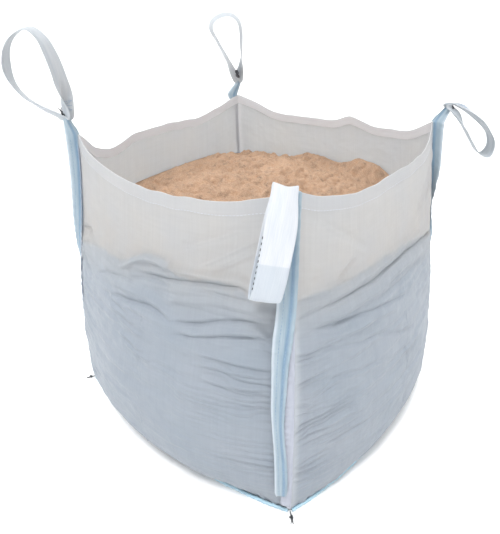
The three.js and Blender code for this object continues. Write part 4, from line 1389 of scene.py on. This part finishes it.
def sand_piece():
    """The sand as one closed mass: rings up inside the walls, then shrinking rings over the heap."""
    top_line = sand_ring(lambda k, u: sand_line[k](u), SAND_GAP)
    rings = [sand_ring(lambda k, u, z=level: np.full(len(u), z)) for level in SAND_LEVELS]
    low = SAND_LEVELS[-1]
    for t in np.linspace(0, 1, SAND_UPPER_RINGS + 1)[1:-1]:
        rings.append(sand_ring(lambda k, u, t=t: low + (sand_line[k](u) - low) * t, SAND_UPPER_GAP))
    rings.append(top_line)
    for s in np.linspace(1, 0.004, SAND_RINGS)[1:]:
        rounding = SAND_ROUNDING * smoothstep(0, 0.25, 1 - s)
        x, y = (smoothed_round(top_line[:, axis], rounding) * s for axis in (0, 1))
        edge_height = smoothed_round(top_line[:, 2], SAND_EDGE_SMOOTHING * (1 - s))
        height = edge_height + (SAND_TOP - edge_height) * smoothstep(0, 1, (1 - s) / SAND_HEAP_REACH)
        # broad heaps, rounded clods and crumbs, fading where the sand meets the walls
        fade = smoothstep(0, 0.10, 1 - s)
        clods = np.abs(layered_noise(x / 0.06, y / 0.06, 130, 3)) - 0.3
        height = height + fade * 0.015 * layered_noise(x / 0.14, y / 0.14, 120, 2)
        height = height + (0.3 + 0.7 * fade) * 0.016 * clods
        height = height + 0.0052 * layered_noise(x / 0.020, y / 0.020, 140, 3) * (0.5 + 0.5 * fade)
        rings.append(np.stack([x, y, height], 1))
    points = np.concatenate([np.concatenate(rings), [rings[0].mean(0), rings[-1].mean(0)]])
    bottom, peak = len(points) - 2, len(points) - 1
    faces = grid_faces(len(rings), SAND_AROUND, wrap_columns=True) + fan(0, SAND_AROUND, bottom, turned=True)
    faces += fan(bottom - SAND_AROUND, SAND_AROUND, peak)
    made = face_outward(new_object("heaped_sand", points, faces))
    finish_piece(made, sand_look, ["sand_fill"], BAG)


BASE_AROUND = 240
BASE_RINGS = 24
BASE_INSET = 0.003
BASE_HEIGHT = 0.001
BASE_SHEET_HEIGHT = 0.0012
BASE_SHEET_WAVE = 0.0006


def base_piece():
    """The base sheet, with the slight unevenness of cloth under sand."""
    ring = []
    for k in range(4):
        u = np.linspace(-1, 1, BASE_AROUND // 4, endpoint=False)
        points = wall(k, u, np.full(len(u), BASE_HEIGHT))
        points[:, :2] -= BASE_INSET * FACING[k]
        ring.append(points)
    ring = np.concatenate(ring)
    rings = []
    for s in np.linspace(1, 0.02, BASE_RINGS):
        level = ring * s
        wave = 1 + noise(level[:, 0] / 0.05, level[:, 1] / 0.05, 150)
        level[:, 2] = BASE_SHEET_HEIGHT + BASE_SHEET_WAVE * wave
        rings.append(level)
    points = np.concatenate([np.concatenate(rings), [rings[-1].mean(0)]])
    faces = grid_faces(BASE_RINGS, BASE_AROUND, wrap_columns=True)
    last = len(points) - 1
    faces += fan(last - BASE_AROUND, BASE_AROUND, last)
    made = new_object("base_cloth", points, faces)
    point_values(made, "cloth", points)
    # the base sheet is painted all in sand shade
    point_values(made, "sand_shade", np.ones(len(points)))
    point_values(made, "hem", np.zeros(len(points)))
    point_values(made, "dust", np.full(len(points), 0.3))
    finish_piece(made, cloth, ["base_panel"], BAG)


sand_piece()
base_piece()

# ---------------------------------------------------------------- floor and light

FLOOR_RADIUS = 11.0
BACKDROP_HEIGHT = 7.0
BACKDROP_CURVE = 4.5
STAGE_AROUND = 96
WORLD_STRENGTH = 0.62
SUN_STRENGTH = 2.0
SUN_SOFTNESS = 14
SUN_FROM = (0.30, -0.80, 2.00)
BACK_SUN_STRENGTH = 1.9
BACK_SUN_SOFTNESS = 85
BACK_SUN_FROM = (-0.60, 0.80, 1.30)
FILL_PLACE = (-2.6, -1.0, 2.6)
FILL_SIZE = 2.4
FILL_POWER = 16


def make_stage():
    """A pale floor that curves up into a backdrop all round, a white world and plain tones."""
    outline = [(0.5, 0.0), (3.0, 0.0), (FLOOR_RADIUS - BACKDROP_CURVE, 0.0)]
    for angle in np.linspace(0, math.pi / 2, 9)[1:]:
        in_from_edge = BACKDROP_CURVE * (1 - math.sin(angle))
        outline.append((FLOOR_RADIUS - in_from_edge, BACKDROP_CURVE * (1 - math.cos(angle))))
    outline.append((FLOOR_RADIUS, BACKDROP_HEIGHT))
    turn = np.linspace(0, 2 * math.pi, STAGE_AROUND, endpoint=False)
    rings = [np.stack([r * np.cos(turn), r * np.sin(turn), np.full(STAGE_AROUND, h)], 1) for r, h in outline]
    points = np.concatenate([np.concatenate(rings), [(0, 0, 0)]])
    faces = grid_faces(len(outline), STAGE_AROUND, wrap_columns=True)
    faces += fan(0, STAGE_AROUND, len(points) - 1)
    floor = new_object("floor", points, faces)
    look = material("studio_floor")
    n = Nodes(look)
    tone = n.noise(n.object_place(), 2.0, 2.0)
    colour = n.mix(n.between(tone, 0.3, 0.7), (0.93, 0.93, 0.93, 1), (0.95, 0.95, 0.95, 1))
    inputs = {"Base Color": colour, "Roughness": 0.9, "Specular IOR Level": 0.1}
    n.finish(n.put("BsdfPrincipled", inputs).outputs[0])
    floor.data.materials.append(look)
    world = bpy.data.worlds.new("studio")
    world.use_nodes = True
    background = world.node_tree.nodes["Background"]
    background.inputs["Color"].default_value = (1, 1, 1, 1)
    background.inputs["Strength"].default_value = WORLD_STRENGTH
    bpy.context.scene.world = world
    bpy.context.scene.view_settings.view_transform = "Standard"


def make_lamp(name, kind, place, target, energy):
    data = bpy.data.lights.new(name, kind)
    data.energy = energy
    lamp = bpy.data.objects.new(name, data)
    bpy.context.scene.collection.objects.link(lamp)
    lamp.location = place
    lamp.rotation_euler = (Vector(target) - Vector(place)).to_track_quat("-Z", "Y").to_euler()
    return data


make_stage()
sun = make_lamp("sun", "SUN", SUN_FROM, (0, 0, 0), SUN_STRENGTH)
sun.angle = math.radians(SUN_SOFTNESS)
back_sun = make_lamp("back_sun", "SUN", BACK_SUN_FROM, (0, 0, 0), BACK_SUN_STRENGTH)
back_sun.angle = math.radians(BACK_SUN_SOFTNESS)
fill_lamp = make_lamp("fill", "AREA", FILL_PLACE, (0, 0, 0.5), FILL_POWER)
fill_lamp.shape = "DISK"
fill_lamp.size = FILL_SIZE
